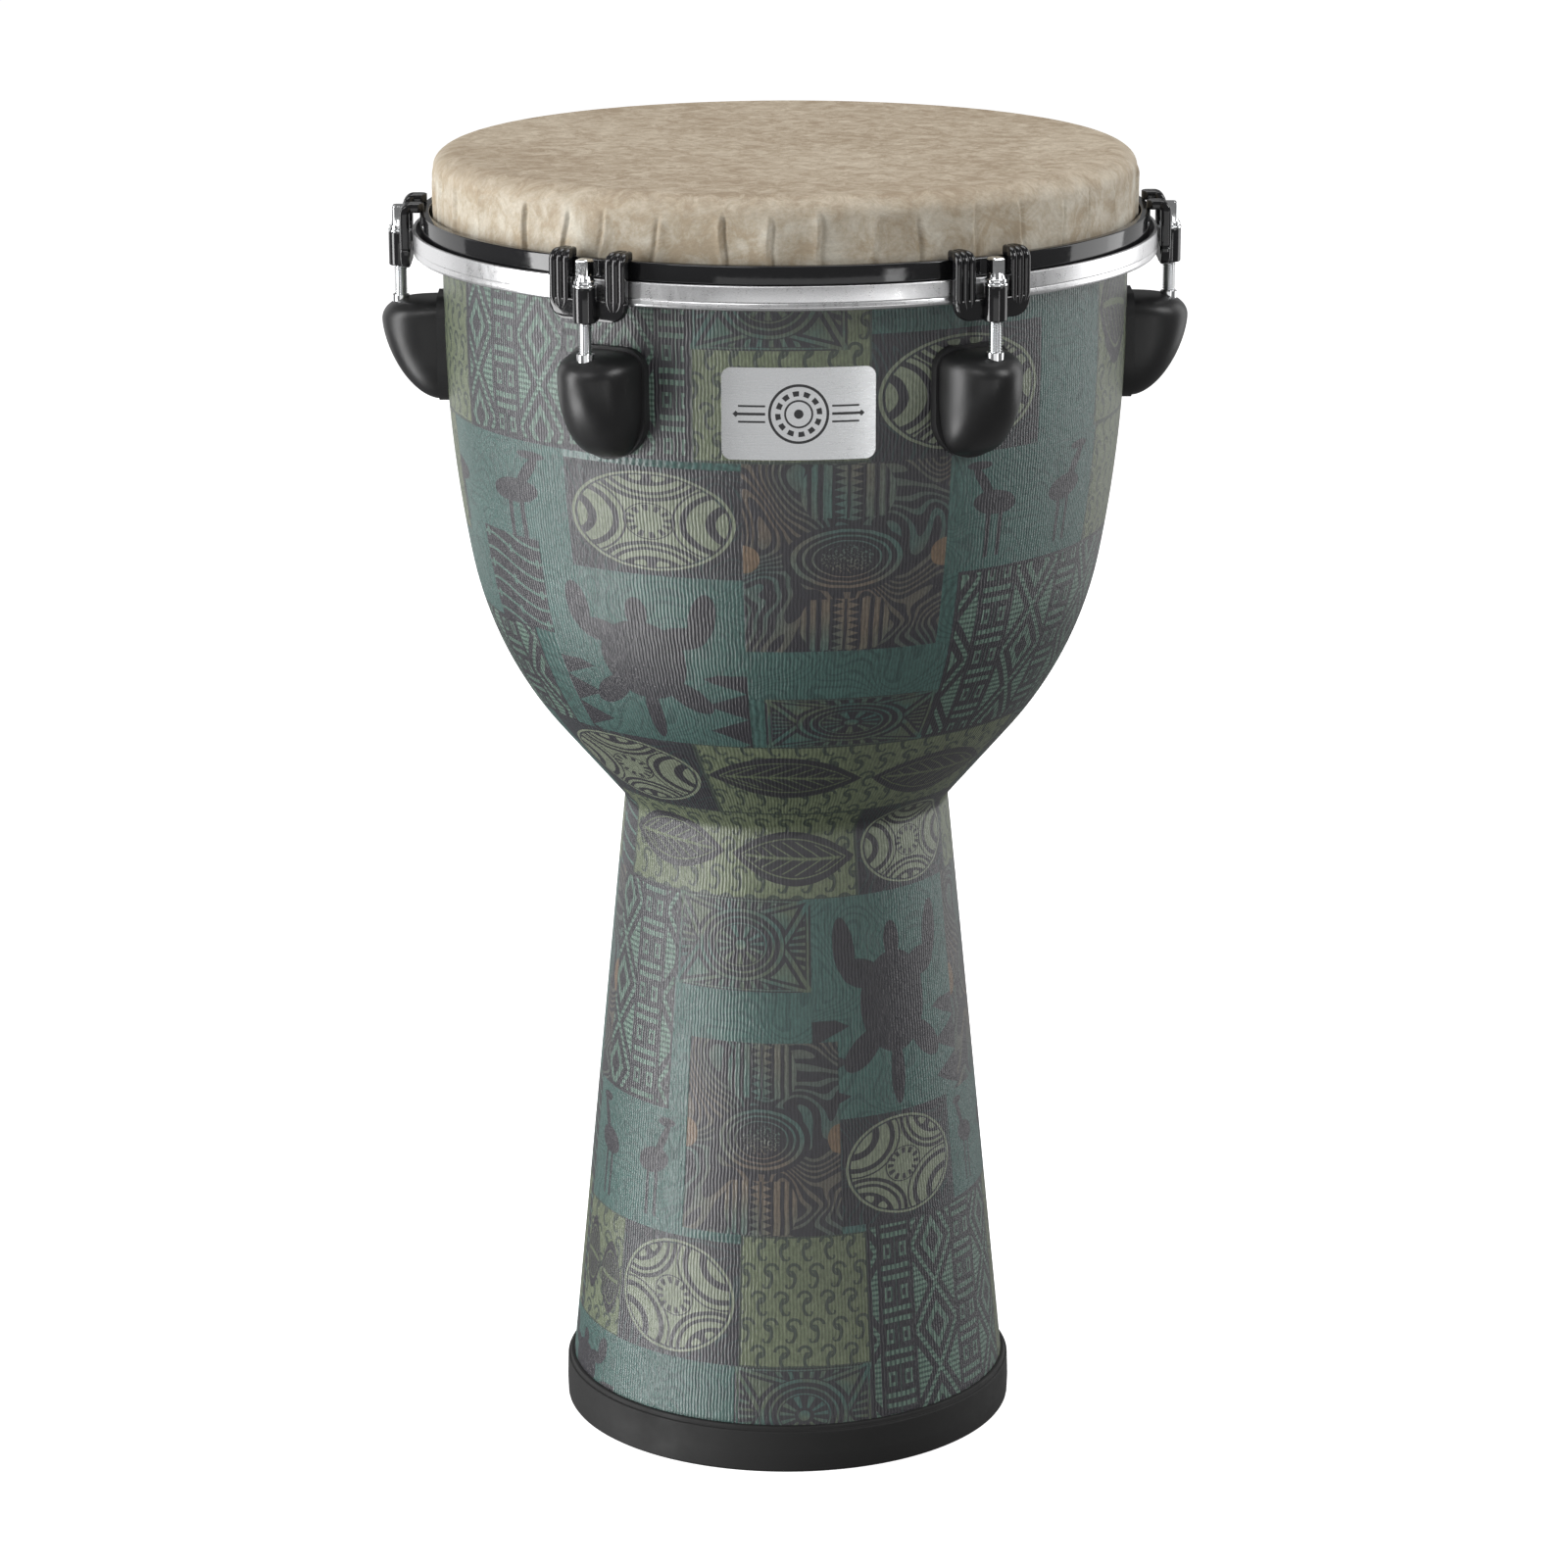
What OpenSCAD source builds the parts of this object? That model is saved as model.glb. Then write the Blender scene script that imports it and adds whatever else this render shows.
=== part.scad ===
// Key-tuned djembe: a hollow goblet shell with a fabric skin, a film head, two hoops and six lugs.
// Millimetres, +Z up, origin at the centre of the foot's underside, -Y is the front with the badge.
// Angles of lugs run about +Z from the front, so lug 1 is front right and the numbers go round by the right.

/* [Shell] */
// Outside radius of the upright wall at the top of the bowl
bowl_r = 144.3; // [140:0.1:145]
// Height at which the upright wall starts to curve in
wall_base_z = 494; // [490:1:498]
// Radius of the bowl's upper, flatter side curve
bowl_upper_r = 568; // [560:1:600]
// Angle through which the upper curve turns
upper_angle = 10.9; // [10.5:0.1:11.5]
// Radius of the bowl's lower, rounder side curve
bowl_lower_r = 159.4; // [157:0.1:162]
// Slope of the funnel below the bowl, from vertical
cone_angle = 40.6; // [40:0.1:41.5]
// Radius of the hollow fillet at the waist
waist_fillet_r = 8; // [6:0.5:12]
// Outside radius that the straight stem would reach at the floor
stem_foot_r = 97.3; // [96:0.1:97.5]
// How much the stem's radius grows for each millimetre down
stem_taper = 0.098; // [0.096:0.001:0.1]
// Height of the crown of the bearing edge
crown_z = 558.2; // [557:0.1:558.2]
// Thickness of the shell wall without its skin
wall_t = 5.5; // [4:0.1:6]
// Thickness of the fabric skin
wrap_t = 0.6; // [0.4:0.1:0.8]

/* [Foot] */
// Height of the rubber ring round the foot
foot_h = 20.8; // [18:0.1:24]
// Outside radius of the rubber ring
foot_r = 98.5; // [98.2:0.1:100]
// Thickness of rubber under the shell's lower edge
foot_floor = 4; // [3:0.5:5]

/* [Head] */
// Height of the playing surface above the floor
drum_h = 559; // [559:0.1:560]
// Radius of the flat part of the playing surface
head_flat_r = 141.5; // [140:0.1:142]
// Outside radius of the film's rolled corner
head_corner_r = 5.6; // [5:0.1:6]
// Outside radius of the film's skirt where it passes the hoops
skirt_r = 148.4; // [148:0.1:148.9]
// Thickness of the film
film_t = 0.5; // [0.4:0.1:0.6]

/* [Hoops] */
// Outside radius of the aluminium flesh hoop
flesh_r = 157; // [156.5:0.1:157.2]
// Height of the aluminium flesh hoop
flesh_h = 10; // [9:0.5:10.5]
// Height of the flesh hoop's underside above the floor
flesh_z = 515.9; // [515.5:0.1:516.5]
// Outside radius of the black counter hoop
counter_r = 153.5; // [153.3:0.1:153.6]
// Thickness of the counter hoop's bar
counter_t = 4; // [3.5:0.1:4.2]
// Height of the counter hoop's upper edge above the floor
counter_top_z = 533.4; // [533:0.1:534]

/* [Lugs] */
// Number of lugs
lug_n = 6; // [6:6]
// Radius of the circle through the tension rods
rod_circle_r = 162.4; // [162.2:0.1:162.8]
// Outside diameter of the tension rod's thread
rod_d = 5.5; // [5:0.1:5.5]
// Width of the rod's square head, across its flats
key_w = 5.8; // [5.4:0.1:6]
// Height of the top of the square head above the floor
key_top_z = 534.7; // [534:0.1:536]
// Height of the rod's lower end above the floor
rod_end_z = 478.5; // [478:0.5:480]
// Width of a claw over both arms
claw_w = 35; // [34:0.5:36]
// Width of one claw arm
arm_w = 9.3; // [9:0.1:9.5]
// Thickness of the claw's plate and arms
claw_t = 3.7; // [3.5:0.1:3.8]
// Height of the claw's lower edge above the floor
claw_z = 509.2; // [508:0.1:510]
// Height of the claw's rod sleeve
sleeve_h = 14.1; // [13.5:0.1:14.1]
// Outside radius of the claw's rod sleeve
sleeve_r = 4.75; // [4.6:0.05:4.75]
// Width of a lug casing where it meets its base pad
casing_w = 33; // [31:0.5:34]
// Height of the top of a lug casing above the floor
casing_top_z = 496; // [495:0.1:497]
// Height of a lug casing
casing_h = 43.5; // [42:0.5:45]
// Distance from the drum's axis to the back plane of the casings
casing_back_r = 146.8; // [146.4:0.1:147.2]
// Distance from the drum's axis to the outermost point of the casings
casing_nose_r = 170.6; // [170:0.1:171.5]
// Wall thickness of the casings
casing_t = 3; // [2.5:0.1:3.2]

/* [Badge] */
// Width of the badge
badge_w = 61.4; // [50:0.1:64]
// Height of the badge
badge_h = 37.6; // [34:0.1:42]
// Height of the badge's middle above the floor
badge_z = 472.7; // [470:0.1:476]
// How far round to the right of the front the badge sits, in degrees
badge_turn = 1.3; // [0:0.1:3]
// Thickness of the badge
badge_t = 0.7; // [0.5:0.1:1]

/* [Hidden] */
$fn = 96;

function numbered(name) = [for (i = [1 : lug_n]) str(name, "_", i)];

// Colours
wood_dark = [0.20, 0.17, 0.15];
print_green = [0.22, 0.34, 0.30];
rubber_black = [0.09, 0.09, 0.10];
film_tan = [0.78, 0.69, 0.56];
bare_metal = [0.78, 0.78, 0.80];
gloss_black = [0.05, 0.05, 0.06];
chrome = [0.85, 0.86, 0.88];
satin_black = [0.10, 0.10, 0.11];
steel = [0.62, 0.63, 0.65];

// How far a cut runs past the faces that it opens, and where and how deep holes through the wall are drilled
cut = 1;
drill_r = bowl_r - 20;
drill_l = 30;

// Centres and directions of the shell's side curves, as radius and height
upper_c = [bowl_r - bowl_upper_r, wall_base_z];
lower_c = upper_c + (bowl_upper_r - bowl_lower_r) * [cos(upper_angle), -sin(upper_angle)];
taper_angle = atan(stem_taper);
cone_n = [cos(cone_angle), -sin(cone_angle)];
stem_n = [cos(taper_angle), sin(taper_angle)];
cone_reach = lower_c * cone_n + bowl_lower_r + waist_fillet_r;
stem_reach = stem_foot_r * stem_n[0] + waist_fillet_r;
waist_det = cone_n[0] * stem_n[1] - cone_n[1] * stem_n[0];
waist_c = [
    (cone_reach * stem_n[1] - stem_reach * cone_n[1]) / waist_det,
    (cone_n[0] * stem_reach - stem_n[0] * cone_reach) / waist_det
];

// Bearing edge: outer rounding and inner bevel
edge_r = 4;
edge_bevel = 1.5;
// The skin stops inside the film's skirt
wrap_top_z = 540;

// Rubber foot: inner lip, rounding and the step of its upper lip
foot_lip_t = 3;
foot_inner_h = 10;
foot_round = 1;
foot_step = 0.9;
foot_step_h = 2.2;
foot_draft = 0.3;

// Film: where the skirt is straight, and its hem in the flesh hoop
hem_t = 0.9;
flesh_floor = 2.3;
hem_r = counter_r - 0.3;
hem_gap = 0.1;

// Flesh hoop: inner edge, outer wall set in from the roll, and the roll at its foot
flesh_inner_r = 146.6;
flesh_wall = 1.5;
flesh_set_in = 0.2;
flesh_wall_rise = 1;
flesh_roll_r = 1.6;

// Counter hoop: bar edges and the gap over the hem
counter_bevel = 0.5;
counter_z = flesh_z + flesh_floor + hem_t + hem_gap;

// Rod assembly, from the claw's sleeve upwards
sleeve_top_z = claw_z + sleeve_h;
washer_h = 1.3;
washer_r = 4.9;
flange_h = 1.5;
flange_r = 4.4;
neck_h = 2.4;
neck_r = [3.9, 3.0];
key_turned_r = 0.64 * key_w;
washer_top_z = sleeve_top_z + washer_h;
flange_top_z = washer_top_z + flange_h;
rod_slack = 0.35;

// Claw: inner face clear of the flesh hoop, hook over the counter hoop, window between the arms,
// corner rounding and grooves
claw_gap = 0.6;
hook_lap = 0.1;
hook_lift = 0.05;
plate_h = 8.3;
claw_back_r = flesh_r + claw_gap;
hook_tip_r = counter_r - counter_t + hook_lap;
hook_r = (claw_back_r + claw_t - hook_tip_r) / 2;
hook_c = [hook_tip_r + hook_r, counter_top_z + hook_lift];
window_z = claw_z + plate_h;
claw_corner = 7;
groove_w = 0.9;
groove_depth = 0.9;

// Lug casing: rounding of the nose and of the base outline, nut pocket and screw bosses
nose_r = 9.5;
nose_gap = 2.6;
base_round = 9;
base_t = 1;
back_cut = 0.5;
belly_rise = 1;
belly_angles = [30, 55, 75];
belly_thinning = 14;
boss_r = 3.9;
screw_z = [490, 460];
screw_r = 1.75;
thread_slack = 0.02;
screw_tip_r = 153.6;
screw_hole_end_r = 154;
boss_end_r = [154.6, 160.5];
nut_r = 3.5;
nut_flange_r = 4.9;
nut_flange_z = [485.5, 490];
nut_z = [482, 496.6];
nut_pocket_z = 480;
nut_slack = 0.05;
gasket_lap = 1.2;
gasket_tilt_room = 12;

// Screws and washers inside the shell
seat_room = 0.4;
seat_r = 5.4;
pad_r = 4.6;
pad_t = 0.8;
head_r = 3.8;
head_h = 2.4;
shank_hole_r = 1.9;

// Badge
badge_corner = 4;

// Points on an arc about c, from angle a0 to a1 in n steps, leaving out the first skip points
function arc(c, r, a0, a1, n, skip = 0) =
    [for (i = [skip : n]) let (a = a0 + (a1 - a0) * i / n) c + r * [cos(a), sin(a)]];

function reversed(points) = [for (i = [len(points) - 1 : -1 : 0]) points[i]];

// Radius of the stem at a height, moved in by d
function stem_r(z, d) = stem_foot_r - stem_taper * z - d / cos(taper_angle);

// Radius of the bowl's upper wall at a height, moved in by d
function wall_r(z, d) =
    let (drop = max(0, wall_base_z - z)) upper_c[0] + sqrt(pow(bowl_upper_r - d, 2) - drop * drop);

// The bowl's side moved in by d, from top_z down to the narrowest place of the waist
function bowl_side(d, top_z) = concat(
    [[bowl_r - d, top_z]],
    arc(upper_c, bowl_upper_r - d, 0, -upper_angle, 8),
    arc(lower_c, bowl_lower_r - d, -upper_angle, -cone_angle, 18, 1),
    [for (p = arc([0, 0], waist_fillet_r + d, -cone_angle, 0, 8)) waist_c - p]
);

// The stem's side moved in by d, from the waist down to the edge in the rubber foot
function stem_side(d, skip = 0) = concat(
    [for (p = arc([0, 0], waist_fillet_r + d, 0, taper_angle, 2, skip)) waist_c - p],
    [[stem_r(foot_floor, d), foot_floor]]
);

// The whole side, from top_z down to the rubber foot
function side(d, top_z) = concat(bowl_side(d, top_z), stem_side(d, 1));

// Radius of the flat seat that is cut for a screw's washer inside the bowl
function washer_seat_r(z) = wall_r(z, wrap_t + wall_t) + seat_room;

module turned(points) {
    rotate_extrude($fn = 360) polygon(points);
}

// Children placed at lug i, still measured from the drum's axis
module at_lug(i) {
    rotate([0, 0, 60 * i - 30]) children();
}

// Children drawn up +Z point out of the drum from this radius and height
module outward(from_r, z) {
    translate([0, -from_r, z]) rotate([90, 0, 0]) children();
}

// A radius and height outline made w wide at the front of the drum
module slab(w) {
    rotate([0, 0, -90]) rotate([90, 0, 0]) linear_extrude(height = w, center = true) children();
}

module rounded_plate(w, h, r, t) {
    linear_extrude(height = t) {
        square([w - 2 * r, h], center = true);
        square([w, h - 2 * r], center = true);
        for (x = [-1, 1], y = [-1, 1]) translate([x * (w / 2 - r), y * (h / 2 - r)]) circle(r);
    }
}

// Holes for the screws of the lug at the front
module shank_holes() {
    for (z = screw_z) outward(drill_r, z) cylinder(r = shank_hole_r, h = drill_l, $fn = 32);
}

module bowl_shell() {
    edge_z = crown_z - edge_r;
    outer = bowl_side(wrap_t, edge_z);
    inner = bowl_side(wrap_t + wall_t, crown_z - edge_bevel);
    crown = reversed(arc([bowl_r - wrap_t - edge_r, edge_z], edge_r, 0, 90, 8, 1));
    color(wood_dark) difference() {
        turned(concat(crown, outer, reversed(inner)));
        for (i = [1 : lug_n]) at_lug(i) {
            for (z = screw_z) outward(drill_r, z) cylinder(r = seat_r, h = washer_seat_r(z) - drill_r);
            shank_holes();
        }
    }
}

module stem_shell() {
    color(wood_dark) turned(concat(stem_side(wrap_t), reversed(stem_side(wrap_t + wall_t))));
}

module shell_wrap() {
    color(print_green) difference() {
        turned(concat(side(0, wrap_top_z), reversed(side(wrap_t, wrap_top_z))));
        for (i = [1 : lug_n]) at_lug(i) shank_holes();
    }
}

module foot_ring() {
    inside = stem_r(foot_floor, wrap_t + wall_t);
    lip_z = foot_h - foot_step_h;
    color(rubber_black) turned([
        [inside - foot_lip_t, 0], [foot_r - foot_round, 0], [foot_r, foot_round],
        [foot_r - foot_draft, lip_z], [foot_r - foot_draft - foot_step, lip_z + foot_draft],
        [foot_r - 2 * foot_draft - foot_step, foot_h],
        [stem_r(foot_h, 0), foot_h], [stem_r(foot_floor, 0), foot_floor], [inside, foot_floor],
        [stem_r(foot_inner_h, wrap_t + wall_t), foot_inner_h],
        [inside - foot_lip_t, foot_inner_h - foot_lip_t]
    ]);
}

module head_film() {
    corner_c = [head_flat_r, drum_h - head_corner_r];
    hem_top_z = flesh_z + flesh_floor + hem_t;
    inner_r = skirt_r - film_t;
    color(film_tan) turned(concat(
        [[0, drum_h]], reversed(arc(corner_c, head_corner_r, 0, 90, 10)),
        [[skirt_r, counter_top_z], [skirt_r, hem_top_z], [hem_r, hem_top_z], [hem_r, hem_top_z - hem_t],
         [inner_r, hem_top_z - hem_t], [inner_r, counter_top_z]],
        arc(corner_c, head_corner_r - film_t, 0, 90, 10), [[0, drum_h - film_t]]
    ));
}

module flesh_hoop() {
    color(bare_metal) rotate_extrude() {
        translate([flesh_inner_r, flesh_z]) square([flesh_r - flesh_inner_r - flesh_roll_r, flesh_floor]);
        translate([flesh_r - flesh_roll_r, flesh_z + flesh_roll_r]) circle(flesh_roll_r, $fn = 32);
        translate([flesh_r - flesh_set_in - flesh_wall, flesh_z + flesh_wall_rise])
            square([flesh_wall, flesh_h - flesh_wall_rise]);
    }
}

module counter_hoop() {
    inner_r = counter_r - counter_t;
    b = counter_bevel;
    color(gloss_black) turned([
        [inner_r + b, counter_z], [counter_r - b, counter_z], [counter_r, counter_z + b],
        [counter_r, counter_top_z - b], [counter_r - b, counter_top_z], [inner_r + b, counter_top_z],
        [inner_r, counter_top_z - b], [inner_r, counter_z + b]
    ]);
}

// Outline of one arm: a straight leg with a hook over the counter hoop, cut away below depth
module arm_outline(depth) {
    intersection() {
        translate(hook_c) difference() {
            circle(hook_r, $fn = 48);
            circle(hook_r - depth, $fn = 48);
        }
        translate(hook_c - [hook_r, 0]) square([2 * hook_r, hook_r]);
    }
    translate([claw_back_r + claw_t - depth, claw_z + claw_corner])
        square([depth, hook_c[1] - claw_z - claw_corner]);
}

// Outline of the plate seen from the front, with round lower corners
module plate_outline() {
    half = claw_w / 2 - claw_corner;
    for (x = [-half, half]) translate([x, claw_corner]) circle(claw_corner, $fn = 48);
    translate([-half, 0]) square([2 * half, claw_corner]);
    translate([-claw_w / 2, claw_corner]) square([claw_w, window_z - claw_z - claw_corner]);
}

module claw(i) {
    arm_x = claw_w / 2 - arm_w / 2;
    color(gloss_black) at_lug(i) difference() {
        union() {
            outward(claw_back_r, claw_z) linear_extrude(height = claw_t) plate_outline();
            for (x = [-arm_x, arm_x]) translate([x, 0, 0]) difference() {
                slab(arm_w) arm_outline(claw_t);
                slab(groove_w) arm_outline(groove_depth);
            }
            translate([0, -rod_circle_r, claw_z]) cylinder(r = sleeve_r, h = sleeve_h);
        }
        translate([0, -rod_circle_r, claw_z - cut])
            cylinder(d = rod_d + 2 * rod_slack, h = sleeve_h + 2 * cut);
    }
}

module tension_rod(i) {
    color(chrome) at_lug(i) translate([0, -rod_circle_r, 0]) {
        translate([0, 0, rod_end_z]) cylinder(d = rod_d, h = washer_top_z - rod_end_z);
        translate([0, 0, washer_top_z]) cylinder(r = flange_r, h = flange_h);
        translate([0, 0, flange_top_z]) cylinder(r1 = neck_r[0], r2 = neck_r[1], h = neck_h);
        translate([0, 0, flange_top_z]) intersection() {
            translate([-key_w / 2, -key_w / 2, 0]) cube([key_w, key_w, key_top_z - flange_top_z]);
            cylinder(r = key_turned_r, h = key_top_z - flange_top_z);
        }
    }
}

module rod_washer(i) {
    color(chrome) at_lug(i) translate([0, -rod_circle_r, sleeve_top_z]) difference() {
        cylinder(r = washer_r, h = washer_h);
        translate([0, 0, -cut]) cylinder(d = rod_d + 2 * rod_slack, h = washer_h + 2 * cut);
    }
}

// Outline of a casing against the drum, seen from the front: flat top, round lower end
module base_outline(grow) {
    half = casing_w / 2 + grow;
    round_z = casing_top_z - casing_h + casing_w / 2;
    corner_z = casing_top_z + grow - base_round;
    for (x = [-1, 1]) translate([x * (half - base_round), corner_z]) circle(base_round, $fn = 32);
    translate([0, round_z]) circle(half, $fn = 32);
    translate([-half, round_z]) square([2 * half, corner_z - round_z]);
    translate([base_round - half, round_z])
        square([2 * (half - base_round), corner_z + base_round - round_z]);
}

// Smooth casing form: the base outline drawn out to a rounded nose, shrunk all round by inset
module casing_form(inset) {
    nose_c = [casing_nose_r - nose_r, casing_top_z - nose_r];
    belly_depth = casing_nose_r - casing_back_r;
    belly_drop = casing_h - nose_r - belly_rise;
    overlap = inset > 0 ? back_cut : 0;
    hull() {
        outward(casing_back_r - overlap, 0) linear_extrude(height = base_t) base_outline(-inset);
        for (x = [-0.5, 0.5])
            translate([x * nose_gap, -nose_c[0], nose_c[1]]) sphere(nose_r - inset, $fn = 32);
        for (a = belly_angles) let (r = nose_r - a / belly_thinning) {
            reach = casing_back_r + (belly_depth - r) * cos(a);
            translate([0, -reach, nose_c[1] - (belly_drop - r) * sin(a)]) sphere(r - inset, $fn = 32);
        }
    }
}

module lug_bracket(i) {
    color(satin_black) at_lug(i) difference() {
        union() {
            difference() {
                casing_form(0);
                casing_form(casing_t);
            }
            for (k = [0, 1])
                outward(casing_back_r, screw_z[k]) cylinder(r = boss_r, h = boss_end_r[k] - casing_back_r);
        }
        for (z = screw_z) outward(casing_back_r - cut, z)
            cylinder(r = screw_r + thread_slack, h = screw_hole_end_r - casing_back_r + cut, $fn = 32);
        translate([0, -rod_circle_r, nut_pocket_z]) {
            cylinder(r = nut_r + nut_slack, h = drill_l);
            cylinder(r = nut_flange_r + nut_slack, h = nut_flange_z[1] + nut_slack - nut_pocket_z);
        }
    }
}

module lug_gasket(i) {
    pad_back_r = wall_r(casing_top_z - casing_h, 0) - gasket_tilt_room;
    color(satin_black) difference() {
        at_lug(i) outward(pad_back_r, 0)
            linear_extrude(height = casing_back_r - pad_back_r) base_outline(gasket_lap);
        turned(concat([[0, wrap_top_z]], side(0, wrap_top_z), [[0, foot_floor]]));
        at_lug(i) shank_holes();
    }
}

module tension_nut(i) {
    color(steel) at_lug(i) translate([0, -rod_circle_r, 0]) difference() {
        union() {
            translate([0, 0, nut_z[0]]) cylinder(r = nut_r, h = nut_z[1] - nut_z[0]);
            translate([0, 0, nut_flange_z[0]])
                cylinder(r = nut_flange_r, h = nut_flange_z[1] - nut_flange_z[0]);
        }
        translate([0, 0, nut_z[0] - cut])
            cylinder(d = rod_d + 2 * nut_slack, h = nut_z[1] - nut_z[0] + 2 * cut);
    }
}

module lug_screws() {
    color(steel) for (i = [1 : lug_n], z = screw_z) at_lug(i) {
        under_head_r = washer_seat_r(z) - pad_t;
        outward(under_head_r - head_h, z) cylinder(r = head_r, h = head_h, $fn = 48);
        outward(under_head_r, z) cylinder(r = screw_r, h = screw_tip_r - under_head_r, $fn = 32);
    }
}

module lug_washers() {
    color(steel) for (i = [1 : lug_n], z = screw_z) at_lug(i)
        outward(washer_seat_r(z) - pad_t, z) difference() {
            cylinder(r = pad_r, h = pad_t, $fn = 48);
            translate([0, 0, -cut]) cylinder(r = shank_hole_r, h = pad_t + 2 * cut, $fn = 32);
        }
}

module badge_plate() {
    skin = side(0, wrap_top_z);
    color(bare_metal) intersection() {
        rotate([0, 0, badge_turn])
            outward(drill_r, badge_z) rounded_plate(badge_w, badge_h, badge_corner, drill_l);
        turned(concat(side(-badge_t, wrap_top_z), reversed(skin)));
    }
}

bowl_shell();
stem_shell();
shell_wrap();
foot_ring();
badge_plate();
head_film();
flesh_hoop();
counter_hoop();
for (i = [1 : lug_n]) {
    claw(i);
    tension_rod(i);
    rod_washer(i);
    lug_bracket(i);
    lug_gasket(i);
    tension_nut(i);
}
lug_screws();
lug_washers();
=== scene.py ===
# The looks of a key-tuned djembe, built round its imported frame.
# Metres, +Z up, the front with the badge towards -Y. Lug 1 is front right, and the numbers go
# round by the right.
import random
from math import atan, ceil, copysign, cos, hypot, pi, radians, sin, sqrt, tan, tau

import bmesh
import bpy
import numpy as np
from mathutils import Matrix, Vector


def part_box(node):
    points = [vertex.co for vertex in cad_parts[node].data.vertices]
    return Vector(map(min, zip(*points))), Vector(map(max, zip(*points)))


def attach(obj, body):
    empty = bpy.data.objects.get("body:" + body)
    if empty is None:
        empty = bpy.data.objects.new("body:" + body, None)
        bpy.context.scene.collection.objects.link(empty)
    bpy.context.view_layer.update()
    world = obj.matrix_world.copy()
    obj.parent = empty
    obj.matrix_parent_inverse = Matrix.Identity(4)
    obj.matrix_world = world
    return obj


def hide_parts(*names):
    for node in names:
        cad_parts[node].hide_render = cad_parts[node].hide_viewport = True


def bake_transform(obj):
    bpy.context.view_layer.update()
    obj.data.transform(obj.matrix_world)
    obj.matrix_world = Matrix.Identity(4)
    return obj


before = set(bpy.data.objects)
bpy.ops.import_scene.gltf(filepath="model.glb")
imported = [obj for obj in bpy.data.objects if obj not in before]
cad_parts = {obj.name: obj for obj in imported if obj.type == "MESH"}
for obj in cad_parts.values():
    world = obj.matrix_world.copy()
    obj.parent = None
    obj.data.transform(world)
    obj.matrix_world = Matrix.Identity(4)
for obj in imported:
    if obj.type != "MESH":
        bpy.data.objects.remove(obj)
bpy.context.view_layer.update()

MM = 0.001
LUG_COUNT = 6
LUGS = range(1, LUG_COUNT + 1)


def lug_turn(i):
    """The turn about the drum's axis that takes a piece from the front to lug i."""
    return Matrix.Rotation(radians(360 / LUG_COUNT * (i - 0.5)), 4, "Z")


# ---- node expressions


def operator(operation, swapped=False):
    """A method of Term that makes one Math node of its operands, in their order or swapped."""

    def method(self, *others):
        return self.paint.math(operation, *((*others, self) if swapped else (self, *others)))

    return method


class Term:
    """A number that changes over a surface, as a socket of a material's nodes.

    A comparison gives 1 or 0, & is both and | is either.
    """

    def __init__(self, paint, socket):
        self.paint = paint
        self.socket = socket

    def op(self, operation, *others):
        return self.paint.math(operation, self, *others)

    __add__ = operator("ADD")
    __radd__ = operator("ADD", swapped=True)
    __sub__ = operator("SUBTRACT")
    __rsub__ = operator("SUBTRACT", swapped=True)
    __mul__ = operator("MULTIPLY")
    __rmul__ = operator("MULTIPLY")
    __truediv__ = operator("DIVIDE")
    __abs__ = operator("ABSOLUTE")
    __lt__ = operator("LESS_THAN")
    __gt__ = operator("GREATER_THAN")
    __and__ = operator("MULTIPLY")
    __or__ = operator("MAXIMUM")
    sin = operator("SINE")

    def near(self, value, half):
        """1 where this number is within half of a value, else 0."""
        return abs(self - value) < half

    def zigzag(self, half):
        """Up and down between 0 and half."""
        return self.op("PINGPONG", half)

    def wrapped(self, half):
        """Repeats from -half to half."""
        return self.op("WRAP", half, -half)


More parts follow.
